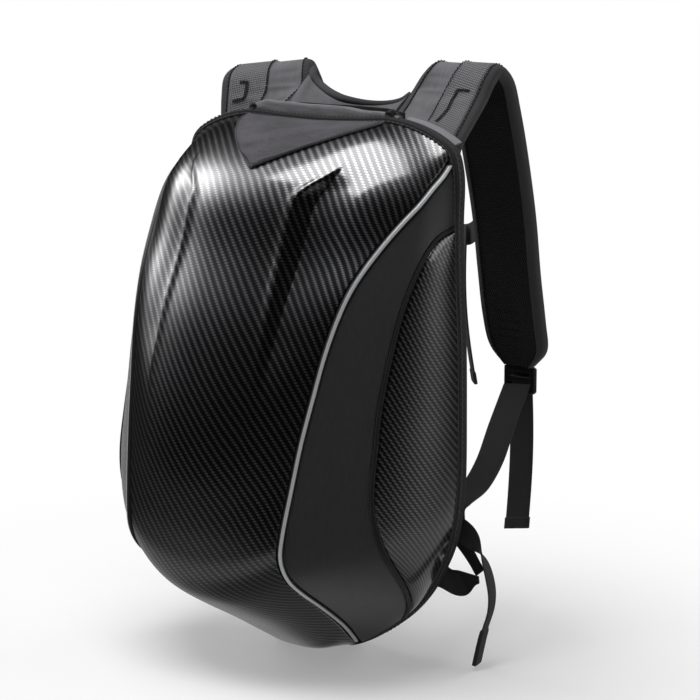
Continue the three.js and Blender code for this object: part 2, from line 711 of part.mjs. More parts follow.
function addStrapWebbing(side, word) {
  const over = buckleThickness / 2 + clearance + webbingThickness;
  const start = vector(buckleCentre.x, buckleCentre.y - over, buckleCentre.z - buckleHeight / 6);
  const end = vector(webbingSide, backPadDepth + 3.5 * clearance + webbingThickness, webbingAnchor);
  const path = curveOf([
    start,
    ...webbingRows.map((row) => vector(
      mix(start.x, end.x, row.across),
      mix(start.y, end.y, row.forward),
      mix(start.z, end.z, row.down),
    )),
    vector(end.x, end.y, end.z - webbingWidth * 0.2),
    vector(end.x, end.y, end.z - webbingWidth * 0.5),
  ]).getPoints(14).map((point) => mirrored(point, side));
  const across = () => vector(1, 0, 0);
  add(`strap_webbing_${word}`, band(path, across, webbingWidth, webbingThickness), webbingNylon);
}

// Free end of the adjusting webbing, which hangs behind the slide and is folded at its foot.
function addStrapTail(side, word) {
  const bow = 5;
  const over = buckleThickness / 2 + 1.6 * clearance + webbingThickness;
  const top = vector(buckleCentre.x - 4, buckleCentre.y + over, buckleCentre.z + buckleHeight / 4);
  const path = steps(10).map((share) => mirrored(vector(
    top.x - 2 * share,
    top.y + bow * Math.sin(Math.PI * share),
    top.z - tailLength * share,
  ), side));
  const fold = 1 - tailFold / tailLength;
  const thick = (share) => (share > fold ? 2 : 1);
  const shape = band(path, () => vector(side, -0.12, 0), webbingWidth, webbingThickness, () => 1, thick);
  add(`strap_tail_${word}`, shape, webbingNylon);
}

// Sternum strap: two webbings on the pads, a buckle between them and its hanging tail.
const sternumSeat = strapPoint('right', 0.715, 0, 0);
const sternumHeight = strapTop - sternumDrop;
const sternumMiddle = vector(0, sternumSeat.y + sternumBow, sternumHeight - sternumSag);

function addSternumWebbing(side, word) {
  const start = vector(sternumSeat.x - clearance - webbingThickness, sternumSeat.y, sternumHeight);
  const end = vector(sternumBuckleLength / 2 + 2 * clearance, sternumMiddle.y, sternumMiddle.z);
  const path = steps(8).map((share) => {
    const point = start.clone().lerp(end, share);
    point.y += sternumBow * 0.15 * Math.sin(Math.PI * share);
    point.z -= sternumSag * 0.4 * Math.sin(Math.PI * share);
    return mirrored(point, side);
  });
  const shape = band(path, () => vector(0, 0, 1), sternumWidth, webbingThickness);
  add(`sternum_webbing_${word}`, shape, webbingNylon);
}

function addSternumBuckle() {
  const path = steps(4).map((share) => (
    vector(sternumBuckleLength * (share - 0.5), sternumMiddle.y, sternumMiddle.z)
  ));
  const waist = (share) => 0.82 + 0.18 * Math.abs(Math.cos(Math.PI * share));
  const shape = band(path, () => vector(0, 0, 1), sternumBuckleWidth, sternumBuckleThickness, waist);
  add('sternum_buckle', shape, buckleAcetal);
}

// The sternum strap's spare end hangs on the pack's side of the right webbing.
function addSternumTail() {
  const middle = (sternumSeat.x + sternumBuckleLength / 2) / 2;
  const top = vector(middle + 2, sternumMiddle.y - sternumTailBack, sternumHeight + 2);
  const path = steps(8).map((share) => vector(
    top.x + 2 * share,
    top.y - sternumSag * Math.sin(Math.PI * share) + 14 * share,
    top.z - sternumTailLength * share,
  ));
  const hem = 1 - tailFold / sternumTailLength;
  const thick = (share) => (share > hem ? 2 : 1);
  const across = () => vector(0.75, -0.66, 0);
  const shape = band(path, across, sternumWidth * 0.8, webbingThickness, () => 1, thick);
  add('sternum_tail', shape, webbingNylon);
}

// Hip belt: a cloth wing sewn to the back panel, and below it the webbing's route past the
// wing's tip to just above the floor. Out and back are lengths from the tip, and fall is a
// share of the way down. Tuck is how far the left one is drawn in.
const hipRows = [
  { out: -42, back: 0, fall: 0.017, tuck: 0 },
  { out: -22, back: 0, fall: 0.03, tuck: 0 },
  { out: -1, back: 2, fall: 0.17, tuck: 0 },
  { out: 11, back: 3, fall: 0.42, tuck: 0 },
  { out: 13, back: 1, fall: 0.58, tuck: 0.5 },
  { out: 9, back: -5, fall: 0.78, tuck: 1 },
  { out: 5, back: -9, fall: 1, tuck: 1 },
];

function addHipWing(side, word) {
  const wing = steps(6).map((share) => mirrored(vector(
    hipRoot + hipWingLength * share,
    backPadDepth + clearance + hipWingThickness / 2 + 4 * share ** 2,
    hipHeight + 8 * share,
  ), side));
  const narrow = (share) => 1 - 0.62 * share;
  const shape = band(wing, () => vector(0, 0, 1), hipWingWidth, hipWingThickness, narrow);
  add(`hip_wing_${word}`, shape, smoothCloth);
}

function addHipWebbing(side, word) {
  const tip = hipRoot + hipWingLength;
  const layer = backPadDepth + 2.6 * webbingThickness + 2 * clearance;
  const tuck = side > 0 ? 0 : hipTuck;
  const path = curveOf(hipRows.map((row) => vector(
    tip + row.out - tuck * row.tuck,
    layer + row.back,
    mix(hipTailHeight, hipTailClearance, row.fall),
  ))).getPoints(16).map((point) => mirrored(point, side));
  const turn = (share) => smoothstep(share, 0.18, 0.5);
  const twist = (share) => vector(0.35 * side * turn(share), -0.93 * turn(share), 1 - turn(share));
  const thick = (share) => (share > 0.8 ? 2.4 : 1);
  const shape = band(path, twist, hipWebbingWidth, webbingThickness, () => 1, thick);
  add(`hip_webbing_${word}`, shape, webbingNylon);
}

addShell();
addBinding();
addBackPanel();
addTopPatch();
addHandle();
addYoke();
addSternumBuckle();
addSternumTail();
[[1, 'right'], [-1, 'left']].forEach(([side, word]) => {
  addGusset(side, word);
  addSidePanel(side, word);
  addPiping(pipingCurve, pipingRadius, 6, side, `piping_${word}`, silverPiping);
  addPiping(seamCurve, seamPipingRadius, 4, side, `seam_piping_${word}`, blackPiping);
  addStrap(word);
  addShoulderPatch(word);
  addTape(side, word);
  addBuckle(side, word);
  addStrapWebbing(side, word);
  addStrapTail(side, word);
  addSternumWebbing(side, word);
  addHipWing(side, word);
  addHipWebbing(side, word);
});

export default pack;
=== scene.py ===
import math

import bpy
import numpy as np
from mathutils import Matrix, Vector


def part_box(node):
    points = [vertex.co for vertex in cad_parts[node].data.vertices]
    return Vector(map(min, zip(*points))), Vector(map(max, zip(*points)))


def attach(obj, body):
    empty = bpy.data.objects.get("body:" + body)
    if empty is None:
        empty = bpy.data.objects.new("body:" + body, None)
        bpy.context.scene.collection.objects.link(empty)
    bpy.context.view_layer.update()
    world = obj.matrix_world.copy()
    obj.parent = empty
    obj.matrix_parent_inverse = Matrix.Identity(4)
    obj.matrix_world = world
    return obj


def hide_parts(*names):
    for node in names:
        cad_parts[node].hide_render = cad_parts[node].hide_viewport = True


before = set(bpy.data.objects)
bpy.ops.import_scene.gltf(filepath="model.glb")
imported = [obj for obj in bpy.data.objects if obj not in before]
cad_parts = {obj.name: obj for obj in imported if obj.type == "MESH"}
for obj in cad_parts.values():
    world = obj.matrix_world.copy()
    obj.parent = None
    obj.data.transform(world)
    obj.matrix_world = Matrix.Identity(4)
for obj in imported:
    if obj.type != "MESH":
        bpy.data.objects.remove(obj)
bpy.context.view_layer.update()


# Camera. The photograph looks at the pack from its front right and a little above, with
# a long lens two metres away.
camera_target = Vector((0.017, 0.038, 0.268))
camera_place = Vector((1.3147, -1.5085, 0.6239))
camera = bpy.data.objects.new("camera", bpy.data.cameras.new("camera"))
camera.data.lens = 116.23
camera.data.clip_end = 50
camera.location = camera_place
camera.rotation_euler = (camera_target - camera_place).to_track_quat("-Z", "Y").to_euler()
bpy.context.scene.collection.objects.link(camera)
bpy.context.scene.camera = camera
bpy.context.scene.view_settings.view_transform = "Standard"


# Floor and light. A white table under three softboxes, in a dark room with three soft white
# screens, which the pack's black film mirrors as soft bright fields.
def linear(code):
    """Red, green and blue of a hex code, each turned from sRGB to linear light, and alpha 1."""
    parts = np.array([int(code[i:i + 2], 16) for i in (1, 3, 5)]) / 255
    light = np.where(parts <= 0.04045, parts / 12.92, ((parts + 0.055) / 1.055) ** 2.4)
    return (*light.tolist(), 1.0)


def add_node(tree, kind, values=None, **settings):
    """Adds a shader node of a kind, with its settings. Each value goes to the input of that
    name or number: a number or colour is set there, and a node, or a node with its output's
    name, is linked."""
    made = tree.nodes.new("ShaderNode" + kind)
    for key, value in settings.items():
        setattr(made, key, value)
    for key, value in (values or {}).items():
        linked = isinstance(value, tuple) and isinstance(value[0], bpy.types.Node)
        source, output = value if linked else (value, 0)
        if isinstance(source, bpy.types.Node):
            tree.links.new(source.outputs[output], made.inputs[key])
        else:
            made.inputs[key].default_value = value
    return made


def start_material(name):
    """A new material with an empty node tree."""
    material = bpy.data.materials.new(name)
    material.use_nodes = True
    material.node_tree.nodes.clear()
    return material, material.node_tree


room = bpy.data.worlds.new("studio")
bpy.context.scene.world = room
room.use_nodes = True
tree = room.node_tree
tree.nodes.clear()
ray = add_node(tree, "LightPath")
looking = add_node(tree, "TexCoord")
upward = add_node(tree, "SeparateXYZ", {0: (looking, "Generated")})
table_far = add_node(tree, "MapRange", {"Value": (upward, "Z"), "From Min": -0.18, "From Max": -0.4,
                     "To Max": 0.27}, interpolation_type="SMOOTHSTEP")
table_near = add_node(tree, "MapRange", {"Value": (upward, "Z"), "From Min": -0.55, "From Max": -0.85,
                      "To Min": 1.0, "To Max": 0.3}, interpolation_type="SMOOTHSTEP")
room_light = add_node(tree, "Math", {0: table_far, 1: table_near, 2: 0.009}, operation="MULTIPLY_ADD")

# White screens on the left, the right and overhead: the way to each, how sharply it fades
# and how bright it is.
for way, sharpness, strength in (((-0.88, -0.16, 0.5), 38, 7.0), ((0.75, 0.66, 0.08), 26, 0.55),
                                 ((-0.15, -0.2, 0.97), 8, 0.6)):
    facing = add_node(tree, "VectorMath", {0: (looking, "Generated"), 1: Vector(way).normalized()},
                      operation="DOT_PRODUCT")
    front = add_node(tree, "Math", {0: (facing, "Value"), 1: 0.0}, operation="MAXIMUM")
    screen = add_node(tree, "Math", {0: front, 1: sharpness}, operation="POWER")
    room_light = add_node(tree, "Math", {0: screen, 1: strength, 2: room_light}, operation="MULTIPLY_ADD")
seen_light = add_node(tree, "Mix", {0: (ray, "Is Camera Ray"), 2: room_light, 3: 1.0})
sky = add_node(tree, "Background", {"Color": linear("#ffffff"), "Strength": seen_light})
add_node(tree, "OutputWorld", {"Surface": sky})


def add_softbox(name, place, aim, width, length, power):
    """An area light at a place, turned to face the point it is aimed at."""
    data = bpy.data.lights.new(name, "AREA")
    data.shape = "RECTANGLE"
    data.size = width
    data.size_y = length
    data.energy = power
    box = bpy.data.objects.new(name, data)
    box.location = place
    box.rotation_euler = (Vector(aim) - Vector(place)).to_track_quat("-Z", "Y").to_euler()
    bpy.context.scene.collection.objects.link(box)
    return box


add_softbox("overhead_softbox", (-0.2, -0.42, 2.1), (0, -0.05, 0.35), 1.6, 1.4, 34)
add_softbox("right_softbox", (1.9, 1.2, 1.6), (0, 0.05, 0.35), 1.0, 1.4, 5)
add_softbox("back_softbox", (0.6, 2.4, 1.3), (0, 0, 0.3), 1.4, 1.2, 14)

floor_size = 14
floor_mesh = bpy.data.meshes.new("floor")
floor_mesh.from_pydata([(x * floor_size, y * floor_size, 0) for x, y in ((-1, -1), (1, -1), (1, 1), (-1, 1))],
                       [], [(0, 1, 2, 3)])
floor = bpy.data.objects.new("floor", floor_mesh)
bpy.context.scene.collection.objects.link(floor)
floor.visible_glossy = False
table_paint, tree = start_material("table_white_paint")
table_grain = add_node(tree, "TexNoise", {"Scale": 60, "Detail": 4})
table_tone = add_node(tree, "ValToRGB", {"Fac": (table_grain, "Fac")})
table_tone.color_ramp.elements[0].color = linear("#f4f4f4")
table_tone.color_ramp.elements[1].color = linear("#fbfbfb")
table_matte = add_node(tree, "BsdfDiffuse", {"Color": table_tone})
table_glow = add_node(tree, "Emission", {"Color": linear("#ffffff"), "Strength": 1.0})
spot = add_node(tree, "VectorMath", {0: (add_node(tree, "TexCoord"), "Object")},
                operation="LENGTH")
table_edge = add_node(tree, "MapRange", {"Value": (spot, "Value"), "From Min": 0.2, "From Max": 0.7,
                      "To Min": 0.3}, interpolation_type="SMOOTHSTEP")
table_surface = add_node(tree, "MixShader", {0: table_edge, 1: table_matte, 2: table_glow})
add_node(tree, "OutputMaterial", {"Surface": table_surface})
floor_mesh.materials.append(table_paint)


# Front shell: one thermoformed sheet, two and a half millimetres thick, faced with a
# satin film that shows a carbon twill. Two sculpted ridges run up its front, and it
# stands on a small flat under its belly.
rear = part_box("edge_binding")[1].y
pack_height = 0.480
half_width = 0.1605
pack_depth = 0.181
panel_back = 0.01235
shell_wall = 0.0025
seam_gap = 0.0006
piping_radius = 0.0025
seam_piping_radius = 0.00175
edge_roll = 0.0026
ridge_depth = 0.0105
ridge_width = 0.0195
ridge_rise = 0.021
lip_height = 0.2
lip_reach = 0.005
swell_height = 0.0042
swell_level = 0.86
swell_reach = 0.055

# Back outline of the right half from the top centre to the bottom centre: shares of the
# half width and of the height.
outline_rows = np.array([
    (0, 0.99), (0.28, 0.993), (0.511, 0.996), (0.685, 0.986), (0.835, 0.967), (0.916, 0.948), (0.947, 0.919),
    (0.966, 0.833), (0.978, 0.708), (0.994, 0.605), (1, 0.49), (0.999, 0.356), (0.981, 0.291), (0.941, 0.233),
    (0.872, 0.182), (0.773, 0.129), (0.642, 0.083), (0.48, 0.043), (0.312, 0.01), (0.156, -0.004),
    (0, -0.005),
])
piping_head, seam_head, seam_foot, piping_foot = 0.23, 0.309, 0.837, 0.928

# Sections from the top to the underside. Columns: depth and height of the middle, then
# across, depth and height of the piped edge, and the power that rounds the section.
shell_rows = np.array([
    (0.221, 0.982, 0.941, 0.122, 0.912, 3.2),
    (0.387, 0.957, 0.935, 0.21, 0.888, 3),
    (0.536, 0.916, 0.922, 0.282, 0.864, 2.8),
    (0.624, 0.862, 0.885, 0.365, 0.835, 2.6),
    (0.751, 0.75, 0.829, 0.47, 0.791, 2.4),
    (0.856, 0.656, 0.754, 0.613, 0.718, 2.3),
    (0.923, 0.567, 0.698, 0.718, 0.621, 2.3),
    (0.967, 0.49, 0.66, 0.773, 0.538, 2.3),
    (0.994, 0.406, 0.626, 0.823, 0.459, 2.3),
    (1, 0.323, 0.598, 0.862, 0.379, 2.3),
    (1, 0.255, 0.57, 0.895, 0.304, 2.3),
    (0.989, 0.2, 0.555, 0.901, 0.255, 2.3),
    (0.928, 0.158, 0.548, 0.851, 0.217, 2.3),
    (0.773, 0.119, 0.526, 0.746, 0.184, 2.4),
    (0.525, 0.067, 0.48, 0.552, 0.138, 2.6),
    (0.304, 0.016, 0.399, 0.304, 0.079, 2.8),
    (0.205, -0.004, 0.355, 0.19, 0.048, 2.9),
])

# Seam between gusset and side panel beside the same sections: across, depth, height.
seam_rows = np.array([
    (0.953, 0.09, 0.813), (0.952, 0.167, 0.805), (0.954, 0.243, 0.787), (0.957, 0.309, 0.763),
    (0.945, 0.392, 0.712), (0.933, 0.46, 0.652), (0.922, 0.532, 0.565), (0.917, 0.574, 0.503),
    (0.923, 0.603, 0.442), (0.926, 0.632, 0.378), (0.932, 0.631, 0.333), (0.943, 0.608, 0.297),
    (0.949, 0.572, 0.264), (0.936, 0.487, 0.225), (0.883, 0.34, 0.175), (0.773, 0.177, 0.121),
    (0.71, 0.124, 0.1),
])


def unit(vectors):
    """Vectors divided by their own lengths."""
    return vectors / np.maximum(np.linalg.norm(vectors, axis=-1, keepdims=True), 1e-12)


def blend(a, b, weight):
    """The mix of two values or arrays, a at weight 0 and b at weight 1."""
    return a + (b - a) * weight


def ease(value, low, high):
    """The smooth step 3w^2 - 2w^3 between two limits."""
    w = np.clip((value - low) / (high - low), 0, 1)
    return w * w * (3 - 2 * w)


def curve(points, t):
    """Centripetal spline through the points. t runs from 0 to 1 and counts the spans
    evenly. Each span is a cubic, whose end slopes are the neighbouring chords weighted by
    the square roots of their lengths."""
    points = np.asarray(points, float)
    ends = np.vstack([2 * points[0] - points[1], points, 2 * points[-1] - points[-2]])
    place = np.clip(t, 0, 1) * (len(points) - 1)
    span = np.minimum(place.astype(int), len(points) - 2)
    w = (place - span)[..., None]
    p0, p1, p2, p3 = (ends[span + k] for k in range(4))
    d0, d1, d2 = (np.maximum(np.linalg.norm(b - a, axis=-1, keepdims=True), 1e-9) ** 0.5
                  for a, b in ((p0, p1), (p1, p2), (p2, p3)))
    m1 = ((p1 - p0) / d0 - (p2 - p0) / (d0 + d1) + (p2 - p1) / d1) * d1
    m2 = ((p2 - p1) / d1 - (p3 - p1) / (d1 + d2) + (p3 - p2) / d2) * d1
    rise = w * w * (3 - 2 * w)
    return p1 + (p2 - p1) * rise + m1 * w * (1 - w) ** 2 - m2 * w * w * (1 - w)


def along(line, share):
    """A point of a densely sampled line at a share of its samples."""
    stations = np.linspace(0, 1, len(line))
    return np.stack([np.interp(share, stations, line[:, k]) for k in range(line.shape[1])], -1)


def even(points, samples=2001):
    """The line through points, sampled again so that its samples lie evenly along it."""
    lengths = np.concatenate([[0], np.cumsum(np.linalg.norm(np.diff(points, axis=0), axis=1))])
    shares = np.linspace(0, lengths[-1], samples)
    return np.stack([np.interp(shares, lengths, points[:, k]) for k in range(points.shape[1])], -1)


def fair(line, spread):
    """A sampled line, averaged by a bell of that share of its length and held at its ends."""
    reach = int(3 * spread * len(line))
    bell = np.exp(-0.5 * (np.arange(-reach, reach + 1) / (spread * len(line))) ** 2)
    before = 2 * line[0] - line[reach:0:-1]
    after = 2 * line[-1] - line[-2:-reach - 2:-1]
    longer = np.vstack([before, line, after])
    columns = [np.convolve(longer[:, k], bell / bell.sum(), "valid") for k in range(line.shape[1])]
    return np.stack(columns, -1)


spans = np.linspace(0, 1, 2001)
outline_line = even(curve(np.stack([outline_rows[:, 0] * half_width, 0 * outline_rows[:, 0],
                                    outline_rows[:, 1] * pack_height], -1), spans))


def outline(share, back=panel_back):
    """A point of the back outline's right half, never under the floor."""
    points = along(outline_line, share)
    points[..., 1] = -back
    points[..., 2] = np.maximum(points[..., 2], 0)
    return points


def rail(across, deep, high, head, foot):
    """A seam line: a fair curve from the outline's head through the sections to its foot."""
    rows = np.stack([across * half_width, -deep * pack_depth, high * pack_height], -1)
    line = curve(np.vstack([outline(np.array([head])), rows, outline(np.array([foot]))]), spans)
    return fair(line, 0.012)


middle_line = rail(0 * shell_rows[:, 0], shell_rows[:, 0], shell_rows[:, 1], 0, 1)
piping_line = rail(shell_rows[:, 2], shell_rows[:, 3], shell_rows[:, 4], piping_head, piping_foot)
seam_line = rail(seam_rows[:, 0], seam_rows[:, 1], seam_rows[:, 2], seam_head, seam_foot)
power_line = fair(curve(np.pad(shell_rows[:, 5], 1, mode="edge")[:, None], spans), 0.02)


def inward(points):
    """The way into the body from its skin: the slope of an ellipsoid on the rear plane,
    with the pack's half width, depth and half height as its axes."""
    way = np.stack([
        -points[..., 0] / half_width ** 2,
        -(points[..., 1] + panel_back) / pack_depth ** 2,
        -(points[..., 2] - pack_height / 2) / (pack_height / 2) ** 2,
    ], -1)
    return unit(way)


def relief(across, height):
    """Depth of the carving beside the raised tongue. From the ridge line it falls over the
    bank as a hyperbola that starts level, behind a low rolled lip, and comes back up as a
    bell. The bank's width and its depth grow with the height, and the head turns outwards
    into a pointed fin."""
    share = height / pack_height
    grow = ease(share, 0.5, 0.86)
    hook = ease(share, 0.86, 0.935)
    line = (0.372 - 0.025 * ease(share, 0.6, 0.86) + 0.17 * hook) * half_width
    width = ridge_width * blend(0.35, 1.0, grow) * (1 - 0.82 * hook)
    s = (np.abs(across) - line) / width
    soft = 0.12
    bank = (np.sqrt(np.clip(s, 0, 1) ** 2 + soft ** 2) - soft) / (np.sqrt(1 + soft ** 2) - soft)
    rise = np.exp(-(np.maximum(s - 1, 0) * width / ridge_rise) ** 2)
    lip = lip_height * np.exp(-((np.abs(across) - line) / lip_reach) ** 2)
    fade = ease(share, 0.5, 0.64) * (1 - ease(share, 0.89, 0.94)) * (1 - 0.6 * hook)
    return ridge_depth * blend(0.3, 1.0, grow) * fade * (bank * rise - lip)


def shell_skin(u, a):
    """The shell's skin at a share along it and a share across it from -1 to 1. From the
    middle to the piped edge depth and height change as |a| to the section's power, and the
    first and last sections are pulled onto the back outline. Under the top the skin swells
    forward as a bell of the height times 1 - a^2."""
    u, a = np.broadcast_arrays(u, a)
    side = np.abs(a)[..., None]

    def section(share):
        middle, edge = along(middle_line, share), along(piping_line, share)
        fall = side ** along(power_line, share)
        point = blend(middle, edge, fall)
        point[..., 0] = edge[..., 0] * a
        return point

    def pull(shares, from_share, weight):
        target = outline(shares)
        target[..., 0] *= np.sign(a)
        return (target - section(np.full(a.shape, from_share))) * weight[..., None]

    points = section(u)
    points = points + pull(piping_head * np.abs(a), 0.0, (1 - u) ** 12)
    points = points + pull(1 - (1 - piping_foot) * np.abs(a), 1.0, u ** 12)
    bell = np.exp(-((points[..., 2] / pack_height - swell_level) / swell_reach) ** 2)
    swell = swell_height * bell * (1 - a * a)
    points = points + inward(points) * (relief(points[..., 0], points[..., 2]) - swell)[..., None]
    points[..., 2] = np.maximum(points[..., 2], 0)
    return points


def hold(line, u, section, radius):
    """Share of a panel's section that a seam's piping takes up: its radius and the gap,
    over the section's length, corrected for the slant between section and seam."""
    tangent = unit(along(line, np.clip(u + 0.005, 0, 1)) - along(line, np.clip(u - 0.005, 0, 1)))
    slant = np.linalg.norm(np.cross(unit(section), tangent), axis=-1)
    return (radius + seam_gap) / np.maximum(slant, 0.4) / np.linalg.norm(section, axis=-1)


def lengths_of(grid, axis):
    """Distance along the rows (axis 1) or columns (axis 0) of a grid from its first point."""
    pace = np.linalg.norm(np.diff(grid, axis=axis), axis=-1)
    start = np.zeros_like(np.take(pace, [0], axis=axis))
    return np.concatenate([start, np.cumsum(pace, axis=axis)], axis)


def roll_edges(grid, edges, radius=edge_roll):
    """A panel's grid with its first and last columns turned inwards, as a round of that
    radius: at a distance d from the edge it sinks by r - sqrt(r^2 - (r - d)^2)."""
    run = lengths_of(grid, 1)
    sink = np.zeros(run.shape)
    for edge in edges:
        distance = run if edge == "first" else run[:, -1:] - run
        near = np.clip(radius - distance, 0, radius)
        sink = sink + 0.75 * (radius - np.sqrt(radius ** 2 - near ** 2))
    return grid + inward(grid) * sink[..., None]


def make_mesh(name, parts, material):
    """Makes one piece from parts. A part is a grid of points: each row closes to a ring, and
    the first and last ring are closed by strips between their halves. It may come with a
    word: "loop" joins the last ring to the first instead, and "level" lays the map partly
    along the rows. Each part is turned outwards by its signed volume. The UV map holds the
    distances across and along the surface in metres. The points count y from the binding's
    rear plane, and move onto the frame here."""
    corners, faces, uvs, count = [], [], [], 0
    for part in parts:
        grid, word = part if isinstance(part, tuple) else (part, "tube")
        rows, columns = grid.shape[:2]
        wide = np.concatenate([grid, grid[:, :1]], 1)
        if word == "loop":
            wide = np.concatenate([wide, wide[:1]], 0)
        across, up = lengths_of(wide, 1), lengths_of(wide, 0)
        across = across - across[:, -1:] / 2
        if word == "level":
            up = blend(up, up.mean(1, keepdims=True), 0.6)
        i, j = np.meshgrid(np.arange(wide.shape[0] - 1), np.arange(wide.shape[1] - 1), indexing="ij")
        ring = [(i, j), (i, j + 1), (i + 1, j + 1), (i + 1, j)]
        quads = np.stack([(r % rows) * columns + c % columns for r, c in ring], -1).reshape(-1, 4)
        maps = np.stack([np.stack([across[r, c], up[r, c]], -1) for r, c in ring], -2).reshape(-1, 4, 2)
        if word != "loop":
            k = np.arange(columns // 2 - 1)
            start = np.stack([k, columns - 1 - k, columns - 2 - k, k + 1], -1)
            end = start[:, ::-1] + (rows - 1) * columns
            flat = np.stack([across, up], -1)[:, :columns].reshape(-1, 2)
            quads = np.vstack([quads, start, end])
            maps = np.concatenate([maps, flat[start], flat[end]])
        points = grid.reshape(-1, 3)
        p = points[quads]
        volume = np.einsum("ij,ij->i", p[:, 0], np.cross(p[:, 1], p[:, 2]) + np.cross(p[:, 2], p[:, 3])).sum()
        if volume < 0:
            quads, maps = quads[:, ::-1], maps[:, ::-1]
        corners.append(points + (0, rear, 0))
        faces.append(quads + count)
        uvs.append(maps)
        count += len(points)
    mesh = bpy.data.meshes.new(name)
    mesh.from_pydata(np.vstack(corners), [], np.vstack(faces).tolist())
    cloth = mesh.uv_layers.new(name="cloth")
    cloth.data.foreach_set("uv", np.concatenate(uvs).reshape(-1).astype(np.float32))
    mesh.polygons.foreach_set("use_smooth", np.ones(len(mesh.polygons), bool))
    mesh.set_sharp_from_angle(angle=math.radians(50))
    mesh.materials.append(material)
    piece = bpy.data.objects.new(name, mesh)
    bpy.context.scene.collection.objects.link(piece)
    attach(piece, "root")
    return piece


def two_faces(outer, inner):
    """Rings that run over a sheet's outer face and come back along its inner one."""
    return np.concatenate([outer, inner[:, ::-1]], 1)


def walled(grid, thickness):
    """A panel and its inner face, which lies a wall's thickness inwards, as rings."""
    return two_faces(grid, grid + inward(grid) * thickness)


def add_weave(tree, warp, weft, repeat, over):
    """Threads of a cloth over the UV map. The cross thread of row r lies on top where
    (p - r) mod repeat is less than over, with p counted in lengthwise threads, and the
    lengthwise thread of column c elsewhere. Each float's height is a round across the
    thread times a half sine along it. Returns the height and where the cross thread shows."""
    place = add_node(tree, "UVMap", uv_map="cloth")
    count = add_node(tree, "VectorMath", {0: place, 1: (1 / warp, 1 / weft, 1)}, operation="MULTIPLY")
    cell = add_node(tree, "VectorMath", {0: count}, operation="FLOOR")
    part = add_node(tree, "VectorMath", {0: count, 1: cell}, operation="SUBTRACT")
    p_q = add_node(tree, "SeparateXYZ", {0: count})
    c_r = add_node(tree, "SeparateXYZ", {0: cell})
    f_g = add_node(tree, "SeparateXYZ", {0: part})
    heights = []
    over_cross = None
    for run_axis, row_axis, start, end in (("X", "Y", 0, over), ("Y", "X", 1, 1 + repeat - over)):
        run = add_node(tree, "Math", {0: (p_q, run_axis), 1: (c_r, row_axis)}, operation="SUBTRACT")
        turn = add_node(tree, "Math", {0: run, 1: float(repeat)}, operation="FLOORED_MODULO")
        if run_axis == "X":
            over_cross = add_node(tree, "Math", {0: turn, 1: float(over)}, operation="LESS_THAN")
        share = add_node(tree, "MapRange", {"Value": turn, "From Min": float(start), "From Max": float(end),
                         "To Min": 0.0, "To Max": math.pi})
        arch = add_node(tree, "Math", {0: (share, "Result")}, operation="SINE")
        bow = add_node(tree, "Math", {0: arch, 1: 0.6}, operation="POWER")
        middle = add_node(tree, "Math", {0: (f_g, row_axis), 1: math.pi}, operation="MULTIPLY")
        dome = add_node(tree, "Math", {0: middle}, operation="SINE")
        soft = add_node(tree, "Math", {0: dome, 1: 0.7}, operation="POWER")
        heights.append(add_node(tree, "Math", {0: bow, 1: soft}, operation="MULTIPLY"))
    height = add_node(tree, "Mix", {0: over_cross, 2: heights[1], 3: heights[0]})
    return height, over_cross


def finish_material(tree, colour, height=None, depth=0.0, roughness=None, **plain):
    """Ends a material in one glossy shader. Plain values are set on its own sockets, and a
    height is turned to bumps of that depth in metres."""
    values = {"Base Color": colour}
    if height is not None:
        values["Normal"] = add_node(tree, "Bump", {"Height": height, "Distance": depth, "Strength": 1.0})
    if roughness is not None:
        values["Roughness"] = roughness
    shader = add_node(tree, "BsdfPrincipled", {**values, **plain})
    add_node(tree, "OutputMaterial", {"Surface": shader})
    return shader


def carbon_film(name, warp, weft, floats, gaps, bump):
    """Embossed carbon twill film under satin lacquer. The cross threads mirror the light
    from above like drawn metal, and the lengthwise threads between them stay black."""
    material, tree = start_material(name)
    height, cross = add_weave(tree, warp, weft, 4, 2)
    lift = add_node(tree, "Math", {0: height, 1: cross}, operation="MULTIPLY")
    tone = add_node(tree, "Mix", {0: lift, 6: linear(gaps), 7: linear(floats)}, data_type="RGBA")
    cloud = add_node(tree, "TexNoise", {"Scale": 35, "Detail": 3})
    rough = add_node(tree, "MapRange", {"Value": (cloud, "Fac"), "To Min": 0.29, "To Max": 0.36})
    finish_material(tree, (tone, 2), lift, bump, rough, **{"Metallic": 0.98, "IOR": 1.5, "Coat Weight": 1.0,
                    "Coat Roughness": 0.15, "Coat IOR": 1.85})
    return material


shell_film = carbon_film("carbon_twill_film_wide", 0.0023, 0.00205, "#86868a", "#262627", 0.00012)
u = np.linspace(0, 1, 236)[:, None]
rim = shell_skin(u, np.array([[0.9, 1.0]]))
edge_hold = 0.1 * hold(piping_line, u[:, 0], rim[:, 0] - rim[:, 1], piping_radius)[:, None]
fine_edge = np.linspace(0, 0.035, 8)[:-1]
half = np.concatenate([np.linspace(0, 0.4, 16)[:-1], np.linspace(0.4, 0.77, 66)[:-1],
                       np.linspace(0.77, 0.965, 16)])
a = np.concatenate([-1 + fine_edge, -half[::-1], half[1:], (1 - fine_edge)[::-1]])[None, :]
shell_grid = roll_edges(shell_skin(u, a * (1 - edge_hold)), ("first", "last"))
shell = make_mesh("front_shell_film", [(walled(shell_grid, shell_wall), "level")], shell_film)
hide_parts("front_shell")


# Gussets: smooth woven polyester, sewn between the piping and the side panels and
# lightly padded, so that they bulge between their seams.
gusset_wall = 0.002
gusset_crown = 0.003


